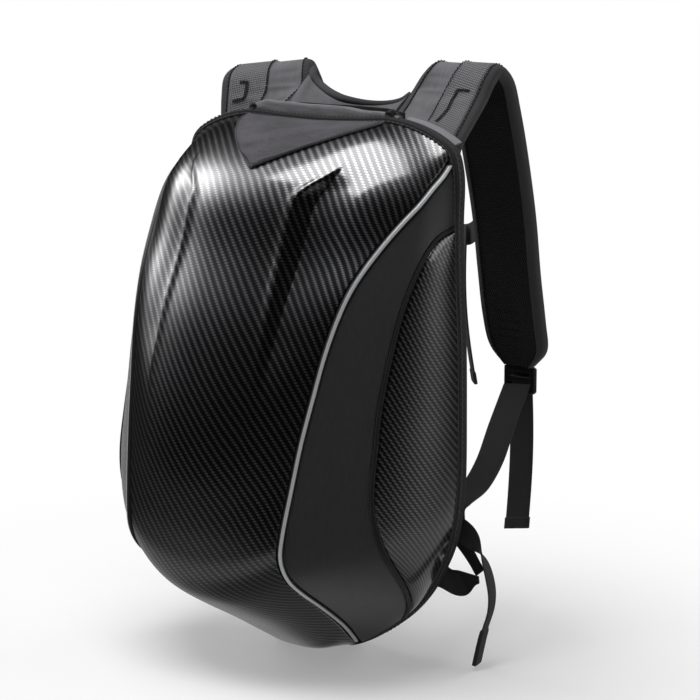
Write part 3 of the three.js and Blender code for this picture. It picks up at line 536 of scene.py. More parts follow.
def gusset_skin(u, w):
    """The gusset's skin from the piping (w 0) to the seam (w 1), as straight sections with
    a crown of 4w(1 - w), and laid on the back outline at both ends."""
    u, w = np.broadcast_arrays(u, w)
    points = blend(along(piping_line, u), along(seam_line, u), w[..., None])
    for foot, ends, weight in ((0, (piping_head, seam_head), (1 - u) ** 12),
                               (1, (piping_foot, seam_foot), u ** 12)):
        chord = blend(outline(np.full(u.shape, ends[0])), outline(np.full(u.shape, ends[1])), w[..., None])
        points = points + (outline(blend(*ends, w)) - chord) * weight[..., None]
    crown = gusset_crown * 4 * w * (1 - w) * np.sin(np.pi * u)
    return points - inward(points) * crown[..., None]


def mirrored(grid, side):
    """A grid on the pack's right side, or its mirror image on the left."""
    return grid * (side, 1, 1)


both_sides = ((1, "right"), (-1, "left"))


def plain_cloth(name, hexes, pitch, bump, roughness=0.75, sheen=0.15):
    """Plain woven cloth whose threads are drawn at the pitch given, with a faint mottle
    between its two colours."""
    material, tree = start_material(name)
    height, cross = add_weave(tree, pitch, pitch, 2, 1)
    mottle = add_node(tree, "TexNoise", {"Scale": 45, "Detail": 5, "Roughness": 0.6})
    mixed = add_node(tree, "Math", {0: (mottle, "Fac"), 1: height}, operation="MULTIPLY")
    tone = add_node(tree, "Mix", {0: mixed, 6: linear(hexes[0]), 7: linear(hexes[1])}, data_type="RGBA")
    finish_material(tree, (tone, 2), height, bump, roughness,
                    **{"Sheen Weight": sheen, "Sheen Roughness": 0.4, "Specular IOR Level": 0.3})
    return material


gusset_cloth = plain_cloth("smooth_polyester", ("#1f1f20", "#3b393c"), 0.0011, 0.00012, 0.6, 0.35)
u = np.linspace(0, 1, 260)[:, None]
front_line, back_line = along(piping_line, u[:, 0]), along(seam_line, u[:, 0])
low = hold(piping_line, u[:, 0], back_line - front_line, piping_radius)[:, None]
high = hold(seam_line, u[:, 0], front_line - back_line, seam_piping_radius)[:, None]
w = np.concatenate([np.linspace(0, 0.06, 6)[:-1], np.linspace(0.06, 0.94, 26), np.linspace(0.94, 1, 6)[1:]])
gusset_grid = roll_edges(gusset_skin(u, blend(low, 1 - high, w[None, :])), ("first", "last"), 0.0022)
for side, word in both_sides:
    piece = make_mesh(f"gusset_cloth_{word}", [walled(mirrored(gusset_grid, side), gusset_wall)],
                      gusset_cloth)
    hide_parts(f"gusset_{word}")


# Side panels: thermoformed like the shell, with a finer twill, crowned outwards and sewn
# into the edge binding.
side_wall = 0.0025
side_crown = 0.007
side_film = carbon_film("carbon_twill_film_fine", 0.0024, 0.00183, "#8c8c90", "#272728", 0.00012)


def side_skin(u, w):
    """The side panel's skin from the seam (w 0) to the back outline (w 1), reached at the
    same share of the seam's length, with a crown of 4w(1 - w)."""
    u, w = np.broadcast_arrays(u, w)
    run = lengths_of(seam_line[None], 1)[0]
    share = blend(seam_head, seam_foot, np.interp(u, spans, run / run[-1]))
    points = blend(along(seam_line, u), outline(share), w[..., None])
    crown = side_crown * 4 * w * (1 - w) * np.sin(np.pi * u)
    return points - inward(points) * crown[..., None]


u = np.linspace(1 / 34, 33 / 34, 150)[:, None]
chord = side_skin(u[:, 0], 1.0) - side_skin(u[:, 0], 0.0)
side_hold = np.minimum(hold(seam_line, u[:, 0], chord, seam_piping_radius), 0.8)[:, None]
w = np.concatenate([np.linspace(0, 0.04, 7)[:-1], np.linspace(0.04, 1, 60)])
side_grid = roll_edges(side_skin(u, blend(side_hold, 1, w[None, :])), ("first",))
for side, word in both_sides:
    piece = make_mesh(f"side_panel_film_{word}", [walled(mirrored(side_grid, side), side_wall)],
                      side_film)
    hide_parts(f"side_panel_{word}")


# Piping: a cord in a folded strip of cloth whose flange is sewn into the seam. The
# front one is reflective silver, and the one behind the gusset is black.
def ring_of(path, first, second, radius, sides=14):
    """A tube round a path: at each point the circle of first cos + second sin."""
    angle = np.linspace(0, 2 * np.pi, sides, endpoint=False)[None, :, None]
    return path[:, None] + radius * (np.cos(angle) * first[:, None] + np.sin(angle) * second[:, None])


def path_frame(path, outward):
    """Tangents of a path, and the two ways across it: sideways and near the outward way."""
    tangent = unit(np.gradient(path, axis=0))
    sideways = unit(np.cross(tangent, outward))
    return tangent, sideways, np.cross(sideways, tangent)


def add_piping(name, line, radius, material, node, side):
    """A round cord along a seam, and its flange, a flat strip that fills the channel."""
    path = along(line, np.linspace(0.008, 0.985, 420))
    path[:, 1] = np.minimum(path[:, 1], -(0.012 + radius + 0.00035))
    path[:, 2] = np.maximum(path[:, 2], radius + 0.00035)
    path = mirrored(path, side)
    _, sideways, outward = path_frame(path, -inward(path))
    cord = ring_of(path, sideways, outward, radius)
    reach, drop, thin = radius + 0.7 * seam_gap, 0.55 * radius, 0.0004
    corners = ((-reach, -drop), (reach, -drop), (reach, -drop - thin), (-reach, -drop - thin))
    flange = np.stack([path + sideways * x + outward * y for x, y in corners], 1)
    parts = [cord, flange]
    piece = make_mesh(name, parts, material)
    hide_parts(node)
    return piece


silver_cloth, tree = start_material("reflective_silver_cloth")
grain = add_node(tree, "TexNoise", {"Scale": 900, "Detail": 3})
around = add_node(tree, "SeparateXYZ", {0: add_node(tree, "UVMap", uv_map="cloth")})
from_top = add_node(tree, "Math", {0: (around, "X"), 1: 0.25 * 2 * math.pi * piping_radius},
                    operation="ADD")
away = add_node(tree, "Math", {0: from_top}, operation="ABSOLUTE")
# Away from the cord's top its sides turn dark grey. This is painted shade of the seam's channel that the cord
# sinks into, not a colour of the silver cloth.
painted_groove_shade = add_node(tree, "MapRange", {"Value": away, "From Min": 0.0011, "From Max": 0.0020},
                  interpolation_type="SMOOTHSTEP")
silver = add_node(tree, "Mix", {0: (grain, "Fac"), 6: linear("#bcbec0"), 7: linear("#e6e8ea")},
                  data_type="RGBA")
tone = add_node(tree, "Mix", {0: painted_groove_shade, 6: (silver, 2), 7: linear("#2e2e30")}, data_type="RGBA")
finish_material(tree, (tone, 2), (grain, "Fac"), 0.0001, 0.42, **{"Metallic": 0.5, "Specular IOR Level": 0.6})
black_cloth = plain_cloth("black_piping_cloth", ("#0d0d0e", "#1a1a1b"), 0.0009, 0.00008)
for side, word in both_sides:
    add_piping(f"silver_piping_{word}", piping_line, piping_radius, silver_cloth,
               f"piping_{word}", side)
    add_piping(f"black_piping_{word}", seam_line, seam_piping_radius, black_cloth,
               f"seam_piping_{word}", side)


# Edge binding: a grosgrain tape folded over the panels' edges all round the back and
# sewn through with two rows of stitches.
binding_depth = 0.012
binding_thickness = 0.003
binding_proud = 0.001
binding_crown = 0.0034


def outline_loop(out, back, crown=0.0, count=240):
    """The whole back outline, moved out square to itself by a distance, as a closed loop.
    Along the top it moves out by the crown as well."""
    share = np.linspace(0, 1, count + 1)
    points = outline(share, back)
    way = unit(np.gradient(along(outline_line, share), axis=0))
    crest = crown * (1 - ease(share, 0.24, 0.32))
    points = points + (out + crest)[:, None] * np.stack([-way[:, 2], 0 * share, way[:, 0]], -1)
    points[:, 2] = np.maximum(points[:, 2], 0)
    points[[0, -1], 0] = 0
    return np.vstack([points, mirrored(points[-2:0:-1], -1)])


def grosgrain(name, dark, light, rib, bump, across=False, roughness=0.8):
    """Ribbed tape: a rib every few threads, along V or across it, with a fine cross grain."""
    material, tree = start_material(name)
    place = add_node(tree, "SeparateXYZ", {0: add_node(tree, "UVMap", uv_map="cloth")})
    turn = add_node(tree, "Math", {0: (place, "X" if across else "Y"), 1: math.tau / rib},
                    operation="MULTIPLY")
    wave = add_node(tree, "Math", {0: turn}, operation="SINE")
    thread = add_node(tree, "Math", {0: (place, "Y" if across else "X"), 1: math.tau / 0.0009},
                      operation="MULTIPLY")
    fine = add_node(tree, "Math", {0: thread}, operation="SINE")
    both = add_node(tree, "Math", {0: fine, 1: 0.35, 2: wave}, operation="MULTIPLY_ADD")
    share = add_node(tree, "MapRange", {"Value": both, "From Min": -1.35, "From Max": 1.35})
    tone = add_node(tree, "Mix", {0: (share, "Result"), 6: linear(dark), 7: linear(light)},
                    data_type="RGBA")
    finish_material(tree, (tone, 2), (share, "Result"), bump, roughness, **{"Sheen Weight": 0.04,
                    "Specular IOR Level": 0.3})
    return material


binding_cloth = grosgrain("black_grosgrain", "#141415", "#29292a", 0.0013, 0.00025)
angle = np.linspace(0, 2 * np.pi, 28, endpoint=False)
round_x = np.sign(np.cos(angle)) * np.abs(np.cos(angle)) ** 0.5
round_y = np.sign(np.sin(angle)) * np.abs(np.sin(angle)) ** 0.35
outs = binding_proud - binding_thickness / 2 + binding_thickness / 2 * round_x
backs = binding_depth / 2 * (1 + round_y)
crowns = binding_crown * ease(outs, binding_proud - binding_thickness, binding_proud)
binding_grid = np.stack([outline_loop(*place) for place in zip(outs, backs, crowns)], 1)
inner_floor = np.maximum(binding_proud - outs, 0)[None, :]
binding_grid[..., 2] = np.maximum(binding_grid[..., 2], inner_floor)
binding = make_mesh("edge_binding_tape", [(binding_grid, "loop")], binding_cloth)
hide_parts("edge_binding")


# Back panel: foam pads under black spacer mesh on a stiff sheet, sewn into the binding.
# The photograph hides it, so its pads follow the usual layout: two upper and two lower
# pads, one across the hips and one under the straps, with air channels between them.
panel_inset = 0.0027
panel_sheet = 0.0065
pad_seat = 0.0035
pad_welt = 0.0013

# Pads: middle across and up, half width and half height, and how much narrower the foot is.
pad_rows = {
    "top": (0, 0.443, 0.136, 0.019, 0.0), "hips": (0, 0.091, 0.106, 0.036, 0.22),
    "upper_right": (0.063, 0.343, 0.052, 0.072, 0.04), "upper_left": (-0.063, 0.343, 0.052, 0.072, 0.04),
    "lower_right": (0.060, 0.199, 0.049, 0.060, -0.06), "lower_left": (-0.060, 0.199, 0.049, 0.060, -0.06),
}


def spacer_mesh(name, dark, light, hole, bump, on_skin):
    """Knitted spacer mesh: rows of round holes, each second row moved by half a hole. The
    height is the distance from the nearest hole's middle over the hole's size. It follows
    the skin's own map, or on the pads the plane of the back."""
    material, tree = start_material(name)
    if on_skin:
        place = add_node(tree, "UVMap", uv_map="cloth")
    else:
        spot = add_node(tree, "SeparateXYZ", {0: (add_node(tree, "TexCoord"), "Object")})
        place = add_node(tree, "CombineXYZ", {0: (spot, "X"), 1: (spot, "Z")})
    count = add_node(tree, "VectorMath", {0: place, 1: (1 / hole, 1 / (0.87 * hole), 1)},
                     operation="MULTIPLY")
    p_q = add_node(tree, "SeparateXYZ", {0: count})
    row = add_node(tree, "Math", {0: (p_q, "Y")}, operation="FLOOR")
    moved = add_node(tree, "Math", {0: row, 1: 0.5, 2: (p_q, "X")}, operation="MULTIPLY_ADD")
    across = add_node(tree, "Math", {0: moved}, operation="FRACT")
    up = add_node(tree, "Math", {0: (p_q, "Y")}, operation="FRACT")
    cell = add_node(tree, "CombineXYZ", {0: across, 1: up})
    away = add_node(tree, "VectorMath", {0: cell, 1: (0.5, 0.5, 0)}, operation="DISTANCE")
    rim = add_node(tree, "MapRange", {"Value": (away, "Value"), "From Min": 0.2, "From Max": 0.45},
                   interpolation_type="SMOOTHSTEP")
    tone = add_node(tree, "Mix", {0: rim, 6: linear(dark), 7: linear(light)}, data_type="RGBA")
    finish_material(tree, (tone, 2), rim, bump, 0.9, **{"Sheen Weight": 0.06, "Sheen Roughness": 0.5,
                    "Specular IOR Level": 0.12})
    return material


def rounded(count, power_x, power_y):
    """Points round a unit ring with x and y raised to powers, so small powers square it."""
    angle = np.linspace(0, 2 * np.pi, count, endpoint=False)
    x, y = np.cos(angle), np.sin(angle)
    return np.sign(x) * np.abs(x) ** power_x, np.sign(y) * np.abs(y) ** power_y


def pad_ring(row, grow, back):
    """A pad's outline, a rounded oblong grown by a share and narrower towards its foot."""
    x, z = rounded(72, 0.42, 0.42)
    mid_x, mid_z, half_w, half_h, narrow = row
    x = x * (1 - narrow * (1 - z) / 2)
    return np.stack([mid_x + x * half_w * grow, back + 0 * x, mid_z + z * half_h * grow], -1)


def inflate(piece, voxel, pressure, cap, frames=20):
    """Puffs a pad up: it is remeshed, blown up as cloth with no gravity, and each point
    moves from its remeshed place by no more than the cap."""
    remesh = piece.modifiers.new("remesh", "REMESH")
    remesh.mode = "VOXEL"
    remesh.voxel_size = voxel
    bpy.context.view_layer.objects.active = piece
    bpy.ops.object.modifier_apply(modifier="remesh")
    count = len(piece.data.vertices)
    still = np.zeros(count * 3)
    piece.data.vertices.foreach_get("co", still)
    cloth = piece.modifiers.new("cloth", "CLOTH")
    cloth.settings.use_pressure = True
    cloth.settings.uniform_pressure_force = pressure
    cloth.settings.effector_weights.gravity = 0
    cloth.settings.quality = 4
    for number in range(1, frames + 1):
        bpy.context.scene.frame_set(number)
    blown = np.zeros(count * 3)
    shaped = piece.evaluated_get(bpy.context.evaluated_depsgraph_get())
    shaped.data.vertices.foreach_get("co", blown)
    piece.modifiers.remove(cloth)
    bpy.context.scene.frame_set(1)
    move = (blown - still).reshape(-1, 3)
    length = np.linalg.norm(move, axis=1, keepdims=True)
    capped = still.reshape(-1, 3) + move * np.minimum(1, cap / np.maximum(length, 1e-9))
    piece.data.vertices.foreach_set("co", capped.reshape(-1))
    piece.data.polygons.foreach_set("use_smooth", np.ones(len(piece.data.polygons), bool))
    piece.data.update()


pad_mesh = spacer_mesh("black_spacer_mesh_pads", "#070707", "#2c2c2d", 0.0030, 0.0006, False)
sheet_cloth = plain_cloth("black_back_lining", ("#0c0c0d", "#1b1b1c"), 0.0012, 0.0002)
loop = outline_loop(0, 0)
steps_in = ((panel_inset, -binding_depth), (panel_inset, 0.3 * panel_sheet),
            (panel_inset + 0.0008, 0.75 * panel_sheet), (panel_inset + 0.004, panel_sheet),
            (panel_inset + 0.03, panel_sheet), (0.09, panel_sheet))
rings = [np.stack([loop[:, 0] * (1 - inset / half_width), 0 * loop[:, 0] + back,
                   blend(loop[:, 2], pack_height / 2, inset / (pack_height / 2))], -1)
         for inset, back in steps_in]
rings = [np.roll(ring, len(loop) // 4, axis=0) for ring in rings]
sheet = make_mesh("back_panel_sheet", [np.stack(rings)], sheet_cloth)
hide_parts("back_panel")
for word, row in pad_rows.items():
    level = np.linspace(-1, 1, 15)
    grow = np.maximum((1 - np.abs(level) ** 2.6) ** (1 / 2.6), 0.04)
    levels = [pad_ring(row, g, pad_seat + 0.004 * (c + 1)) for g, c in zip(grow, level)]
    pad = make_mesh(f"back_pad_{word}", [np.stack(levels)], pad_mesh)
    inflate(pad, 0.005, 4, 0.0019)
    soften = pad.modifiers.new("soften", "SUBSURF")
    soften.levels = soften.render_levels = 1
    welt_path = pad_ring(row, 1.012, panel_sheet + 0.0008)
    closed_path = np.vstack([welt_path[-1:], welt_path, welt_path[:1]])
    _, side_way, out_way = path_frame(closed_path, np.array([[0, 1.0, 0]]))
    welt = ring_of(welt_path, side_way[1:-1], out_way[1:-1], pad_welt, 8)
    make_mesh(f"back_pad_welt_{word}", [(welt, "loop")], black_cloth)


# Top patch: a shield of brushed grey cloth, hemmed and sewn flat on the shell's top.
patch_lift = 0.0009
patch_thickness = 0.0012
patch_half_width = 0.080
patch_back, patch_front = 0.003, 0.095
patch_seam_lift = 0.0017


def brushed_cloth(name, dark, light, streak, turn=0.0, roughness=0.78, sheen=0.12):
    """Tightly woven, brushed polyester: fine streaks, turned by an angle from V, over a plain
    weave too fine to see, and a soft sheen."""
    material, tree = start_material(name)
    place = add_node(tree, "UVMap", uv_map="cloth")
    turned = add_node(tree, "Mapping", {"Vector": place, "Rotation": (0, 0, turn)})
    drawn = add_node(tree, "VectorMath", {0: turned, 1: (1, 0.09, 1)}, operation="MULTIPLY")
    lines = add_node(tree, "TexNoise", {"Vector": drawn, "Scale": 1 / streak, "Detail": 3})
    cloud = add_node(tree, "TexNoise", {"Vector": place, "Scale": 30, "Detail": 3})
    weave, _ = add_weave(tree, 0.0009, 0.0009, 2, 1)
    mixed = add_node(tree, "Math", {0: (lines, "Fac"), 1: 0.7, 2: (cloud, "Fac")}, operation="MULTIPLY_ADD")
    share = add_node(tree, "MapRange", {"Value": mixed, "From Min": 0.65, "From Max": 1.05})
    tone = add_node(tree, "Mix", {0: (share, "Result"), 6: linear(dark), 7: linear(light)},
                    data_type="RGBA")
    both = add_node(tree, "Math", {0: weave, 1: 0.5, 2: (lines, "Fac")}, operation="MULTIPLY_ADD")
    finish_material(tree, (tone, 2), both, 0.00012, roughness,
                    **{"Sheen Weight": sheen, "Sheen Roughness": 0.4, "Specular IOR Level": 0.3})
    return material


def thread(path, outward, pitch=0.0034, radius=0.0004, sides=5):
    """A sewing thread along a path. It runs above the cloth for two thirds of each stitch
    and dips under it for the rest, as radius times a clipped cosine."""
    length = np.linalg.norm(np.diff(path, axis=0), axis=1).sum()
    count = max(int(length / pitch), 1) * 6
    fine = even(path, count + 1)
    ways = along(unit(np.broadcast_to(outward, path.shape) + 0.0), np.linspace(0, 1, count + 1))
    tangent, sideways, out = path_frame(fine, ways)
    wave = np.clip(0.35 + np.cos(np.linspace(0, 2 * np.pi * count / 6, count + 1)), -1, 0.6)
    return ring_of(fine + out * (radius * 1.7 * wave)[:, None], sideways, out, radius, sides)


thread_dark = plain_cloth("black_sewing_thread", ("#141415", "#262627"), 0.0007, 0.0001)
thread_grey = plain_cloth("grey_sewing_thread", ("#39383a", "#5c5b5e"), 0.0007, 0.0001)
patch_cloth = brushed_cloth("grey_brushed_cloth", "#333135", "#4c4a4f", 0.0013, 1.3)
middle_run = lengths_of(middle_line[None], 1)[0]
patch_head, patch_apex = np.interp((patch_back, patch_front), middle_run, spans)


def patch_point(share, across, lift):
    """A point of the patch: a share from its back edge to its point, a share across from
    -1 to 1, and a lift over the shell. Its half width falls as 1 - share^1.9."""
    share, across, lift = np.broadcast_arrays(share, across, lift)
    wide = patch_half_width / half_width * np.maximum(1 - share ** 1.9, 0.03)
    points = shell_skin(blend(patch_head, patch_apex, share), across * wide)
    return points - inward(points) * lift[..., None]


share = np.linspace(0, 1, 70)[:, None]
across = np.sin(np.linspace(-np.pi / 2, np.pi / 2, 81))[None, :]
rim_share = np.minimum(1 - np.abs(across), 1.2 * (1 - share))
hem = 0.0007 * ease(rim_share, 0.0, 0.02) * (1 - ease(rim_share, 0.06, 0.1))
top = patch_point(share, across, patch_lift + patch_thickness * ease(rim_share, -0.012, 0.02) + hem)
under = patch_point(share, across, patch_lift)
patch = make_mesh("top_patch_cloth", [two_faces(top, under)], patch_cloth)
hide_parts("top_patch")
rim_t = np.concatenate([np.linspace(0.02, 0.93, 160), np.linspace(0.93, 0.965, 20)[1:]])
rim_a = 0.955 - 0.35 * ease(rim_t, 0.8, 0.965)
left_rim, right_rim = (patch_point(rim_t, side * rim_a, patch_lift + patch_seam_lift) for side in (-1, 1))
seam_path = np.vstack([left_rim, right_rim[::-1]])
make_mesh("top_patch_stitches", [thread(seam_path, -inward(seam_path), 0.003)], thread_dark)


# Stitches of the edge binding: two rows of thick thread round the pack above its foot, one
# on the tape's front and one on its rim.
binding_stitch = 0.0052
binding_thread = 0.0006
lowest_stitch = 0.02
for word, out, back, crown in (("front", 0.0, binding_depth + 0.0001, 0.4 * binding_crown),
                               ("rim", binding_proud + 0.0001, 0.0085, binding_crown)):
    loop = outline_loop(out, back, crown)
    loop = loop[loop[:, 2] > lowest_stitch]
    cut = int(np.argmax(np.linalg.norm(np.diff(loop, axis=0), axis=1))) + 1
    loop = np.roll(loop, -cut, axis=0)
    away = np.broadcast_to((0, -1, 0), loop.shape)
    if word == "rim":
        away = unit(loop - (0, 0, pack_height / 2)) * (1, 0, 1)
    make_mesh(f"edge_binding_stitches_{word}", [thread(loop, away, binding_stitch, binding_thread)],
              thread_grey)


# Handle: a strip of the same cloth rolled round a cord and caught in the top seam at both
# ends, where it gathers into folds.
handle_length = 0.168
handle_shift = 0.006
handle_height = 0.0125
handle_thickness = 0.0062
handle_cloth = brushed_cloth("grey_rolled_cloth", "#5f5e61", "#747376", 0.0015)
share = np.linspace(0, 1, 150)
x = handle_length * (share - 0.5) + handle_shift
seat = np.maximum(np.interp(np.abs(x), outline_line[:400, 0], outline_line[:400, 2]), outline_line[0, 2])
slim = 1 - 0.52 * ease(share, 0.5, 0.95) - 0.35 * (1 - ease(share, 0, 0.10)) - 0.12 * ease(share, 0.93, 1)
wave = 0.0002 * np.sin(31 * share)
base_z = seat + 0.0022
path = np.stack([x, 0 * x - 0.005, base_z + handle_height / 2 * slim + wave], -1)
ring_x, ring_y = rounded(32, 0.75, 0.62)
gather = 1 - ease(np.minimum(share, 1 - share), 0, 0.11)
pleat = 1 + 0.11 * gather[:, None] * np.cos(5 * np.arctan2(ring_y, ring_x))[None, :]
crease = 0.10 * np.exp(-((ring_y[None, :] - 0.35 + 0.3 * share[:, None]) / 0.12) ** 2)
high = (handle_height / 2 * slim)[:, None] * ring_y[None, :] * pleat
deep = handle_thickness / 2 * ring_x[None, :] * pleat * (1 - crease)
handle_grid = path[:, None] + np.stack([0 * high, -deep, high], -1)
handle = make_mesh("handle_roll", [handle_grid], handle_cloth)
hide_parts("handle")

# Behind the roll a strip of black tape stands up from the seam as painted shade: it stands for the shaded
# slot between the roll and the yoke. At each end of it the cloth is gathered in a folded bunch.
shade_strip_half_length = 0.082
shade_strip_half_height = 0.0078
shade_strip_thickness = 0.0014
gather_start = 0.074
gather_length = 0.015
gather_deep, gather_high = 0.0046, 0.0058
share = np.linspace(0, 1, 80)
x = shade_strip_half_length * (2 * share - 1) + handle_shift
z = np.interp(np.abs(x), outline_line[:400, 0], outline_line[:400, 2]) + 0.0075
path = np.stack([x, 0 * x + 0.0035, z - 0.002 * share ** 2], -1)
ring_x, ring_y = rounded(20, 0.4, 0.4)
high = (shade_strip_half_height * np.sin(np.pi * np.clip(share, 0.04, 0.96)) ** 0.4)[:, None]
grid = path[:, None] + np.stack([0 * high * ring_x, 0 * high + shade_strip_thickness / 2 * ring_y,
                                 high * ring_x], -1)
make_mesh("handle_slot_shade_strip", [grid], black_cloth)
gathers = []
share = np.linspace(0, 1, 26)
swell = np.maximum(np.sin(np.pi * np.clip(share, 0.03, 0.97)) ** 0.6, 0.15)
angle = np.linspace(0, 2 * np.pi, 40, endpoint=False)[None, :]
fold = 1 + 0.16 * np.cos(5 * angle + 3 * share[:, None]) + 0.10 * np.sin(9 * angle - 6 * share[:, None])
reach = swell[:, None] * fold
ring = np.stack([0 * reach, gather_deep * reach * np.cos(angle), gather_high * reach * np.sin(angle)], -1)
for side in (-1, 1):
    path = np.stack([side * (gather_start + gather_length * share), -0.0068 + 0.003 * share,
                     0.4845 - 0.003 * share], -1)
    gathers.append(path[:, None] + ring)
make_mesh("handle_gathers", gathers, black_cloth)


# Shoulder straps: foam under spacer mesh on the wearer's side and grey cloth outside,
# with bound edges. They rise from the back, turn over and end in the slides.
strap_width = 0.075
strap_thickness = 0.010
strap_inner_edge = 0.070
strap_rise = 0.048
strap_drop = 0.283
strap_reach = 0.140
back_pad_depth = 0.013
strap_seat = back_pad_depth + 0.00035 + 0.25 * strap_thickness
strap_top = pack_height + strap_rise

# From root to tip: inner edge's across, back and down, outer edge's on the right strap,
# outer edge's on the left one, and thickness.
strap_rows = np.array([
    (-0.03, 0, 0.24, 0.89, 0, 0.332, 0.91, 0, 0.346, 0.5),
    (-0.05, 0.012, 0.177, 0.89, 0.012, 0.258, 0.93, 0.008, 0.276, 0.55),
    (-0.09, 0.13, 0.138, 0.89, 0.137, 0.184, 0.97, 0.023, 0.205, 0.7),
    (-0.12, 0.244, 0.099, 0.89, 0.272, 0.113, 1.01, 0.051, 0.134, 0.85),
    (-0.05, 0.301, 0.049, 0.91, 0.344, 0.057, 1.05, 0.101, 0.078, 1),
    (0.01, 0.358, 0.021, 0.93, 0.415, 0.025, 1.05, 0.201, 0.057, 1),
    (0.01, 0.473, 0.039, 0.95, 0.501, 0.057, 1.03, 0.372, 0.11, 1),
    (0, 0.587, 0.12, 0.96, 0.573, 0.155, 1, 0.53, 0.191, 1),
    (0, 0.708, 0.307, 0.96, 0.665, 0.307, 0.97, 0.687, 0.325, 1),
    (0, 0.815, 0.502, 0.96, 0.758, 0.502, 0.96, 0.773, 0.502, 1),
    (0, 0.88, 0.682, 0.96, 0.815, 0.682, 0.96, 0.815, 0.682, 1),
    (0, 0.944, 0.841, 0.96, 0.88, 0.841, 0.96, 0.88, 0.841, 1),
    (0.04, 0.994, 0.94, 0.92, 0.937, 0.94, 0.92, 0.937, 0.94, 0.95),
    (0.24, 1.008, 1, 0.69, 0.98, 1, 0.69, 0.98, 1, 0.8),
])


# The left strap's inner edge turns down sooner: changes to its back and down, row by row.
left_tuck = np.zeros((len(strap_rows), 2))
left_tuck[5:9] = ((-0.008, 0.004), (-0.047, 0.042), (-0.055, 0.068), (-0.03, 0.03))


def strap_edge(first, tuck=0.0):
    """An edge line of the strap through its rows, from three columns of the table."""
    across, back, down = strap_rows[:, first], strap_rows[:, first + 1], strap_rows[:, first + 2]
    rows = np.stack([across, back, down], -1)
    rows[:, 1:] += tuck
    rows = (strap_inner_edge, strap_seat, strap_top) + rows * (strap_width, strap_reach, -strap_drop)
    return fair(curve(rows, spans), 0.009)


inner_lines = {"right": strap_edge(0), "left": strap_edge(0, left_tuck)}
outer_lines = {"right": strap_edge(3), "left": strap_edge(6)}
thick_line = fair(curve(strap_rows[:, 9:], spans) * strap_thickness, 0.02)


def strap_point(word, t, a, lift):
    """A point of a strap: a share along it, a share across from its inner edge, and a lift
    off its middle layer along the cross product of its two ways."""
    t, a, lift = np.broadcast_arrays(t, a, lift)

    def at(share):
        return blend(along(inner_lines[word], share), along(outer_lines[word], share), a[..., None])

    tangent = at(np.clip(t + 0.01, 0, 1)) - at(np.clip(t - 0.01, 0, 1))
    normal = unit(np.cross(along(outer_lines[word], t) - along(inner_lines[word], t), tangent))
    return (at(t) + normal * lift[..., None]) * (-1 if word == "left" else 1, 1, 1)


def strap_side(t, a):
    """Half the strap's thickness: full inside a tenth of its width, a round at its edges."""
    edge = np.clip(np.minimum(a, 1 - a) / 0.1, 0, 1)
    return along(thick_line, t)[..., 0] / 2 * (0.3 + 0.7 * np.sqrt(1 - (1 - edge) ** 2))


def strap_folds(t, a):
    """Soft folds of the outer cloth where the strap bends up from its root: ridges that fan
    out from the inner corner, each a bell across its own line."""
    folds = ((0.10, 0.30, 1.5, 0.0013), (0.16, 0.16, -2.2, -0.0012), (0.235, 0.30, 0.8, 0.0010),
             (0.30, 0.20, -0.6, -0.0009), (0.20, 0.70, 2.0, 0.0008))
    lift = 0 * (t + a)
    for place, middle, slope, depth in folds:
        away = (t - place - 0.03 * slope * (a - middle)) / 0.014
        lift = lift + depth * np.exp(-away ** 2) * np.exp(-((a - middle) / 0.28) ** 2)
    return lift * ease(t, 0.02, 0.08) * ease(a, 0.06, 0.2) * ease(1 - a, 0.06, 0.2)


def strap_quilt(t, a):
    """Short sewn bars across the wearer's side above the tip, every ten millimetres."""
    length, pitch, depth = 0.55, 0.0105, 0.0009
    turn = np.cos(2 * np.pi * (t - 0.83) * length / pitch)
    within = ease(a, 0.26, 0.32) * (1 - ease(a, 0.66, 0.72))
    within = within * ease(t, 0.80, 0.815) * (1 - ease(t, 0.89, 0.905))
    return depth * within * np.clip(turn, 0, 1) ** 2


def strap_face(word, t, a, lift):
    """A point of the strap's outer face, over its folds, at a lift off the pad."""
    return strap_point(word, t, a, strap_side(t, a) + strap_folds(t, a) + lift)


def strap_thread(word, t, a, lift):
    """Stitches along a line of the strap, given by shares along and across it."""
    path = strap_point(word, t, a, strap_side(t, a) + lift)
    above = strap_point(word, t, a, strap_side(t, a) + lift + 0.01)
    return thread(path, above - path, 0.0038, 0.00055)


strap_mesh = spacer_mesh("black_spacer_mesh_straps", "#050505", "#151516", 0.0028, 0.0005, True)
strap_cloth = brushed_cloth("grey_strap_cloth", "#59585b", "#69686c", 0.0014)
strap_binding = grosgrain("strap_edge_tape", "#232324", "#474649", 0.0015, 0.0003)
ballistic_cloth, tree = start_material("ballistic_nylon")
height, cross = add_weave(tree, 0.0019, 0.0022, 2, 1)
tone = add_node(tree, "Mix", {0: height, 6: linear("#29292a"), 7: linear("#77757a")}, data_type="RGBA")
finish_material(tree, (tone, 2), height, 0.0006, 0.62, **{"Sheen Weight": 0.1, "Specular IOR Level": 0.45})
facing_inner, facing_outer, facing_start, facing_end = 0.46, 0.90, 0.094, 0.44

# Corners of each strap's hook of bar tacks, as shares along and across it.
tack_corners = {"left": ((0.27, 0.78), (0.27, 0.70), (0.20, 0.70), (0.20, 0.84)),
                "right": ((0.25, 0.80), (0.25, 0.64), (0.17, 0.64), (0.12, 0.58))}

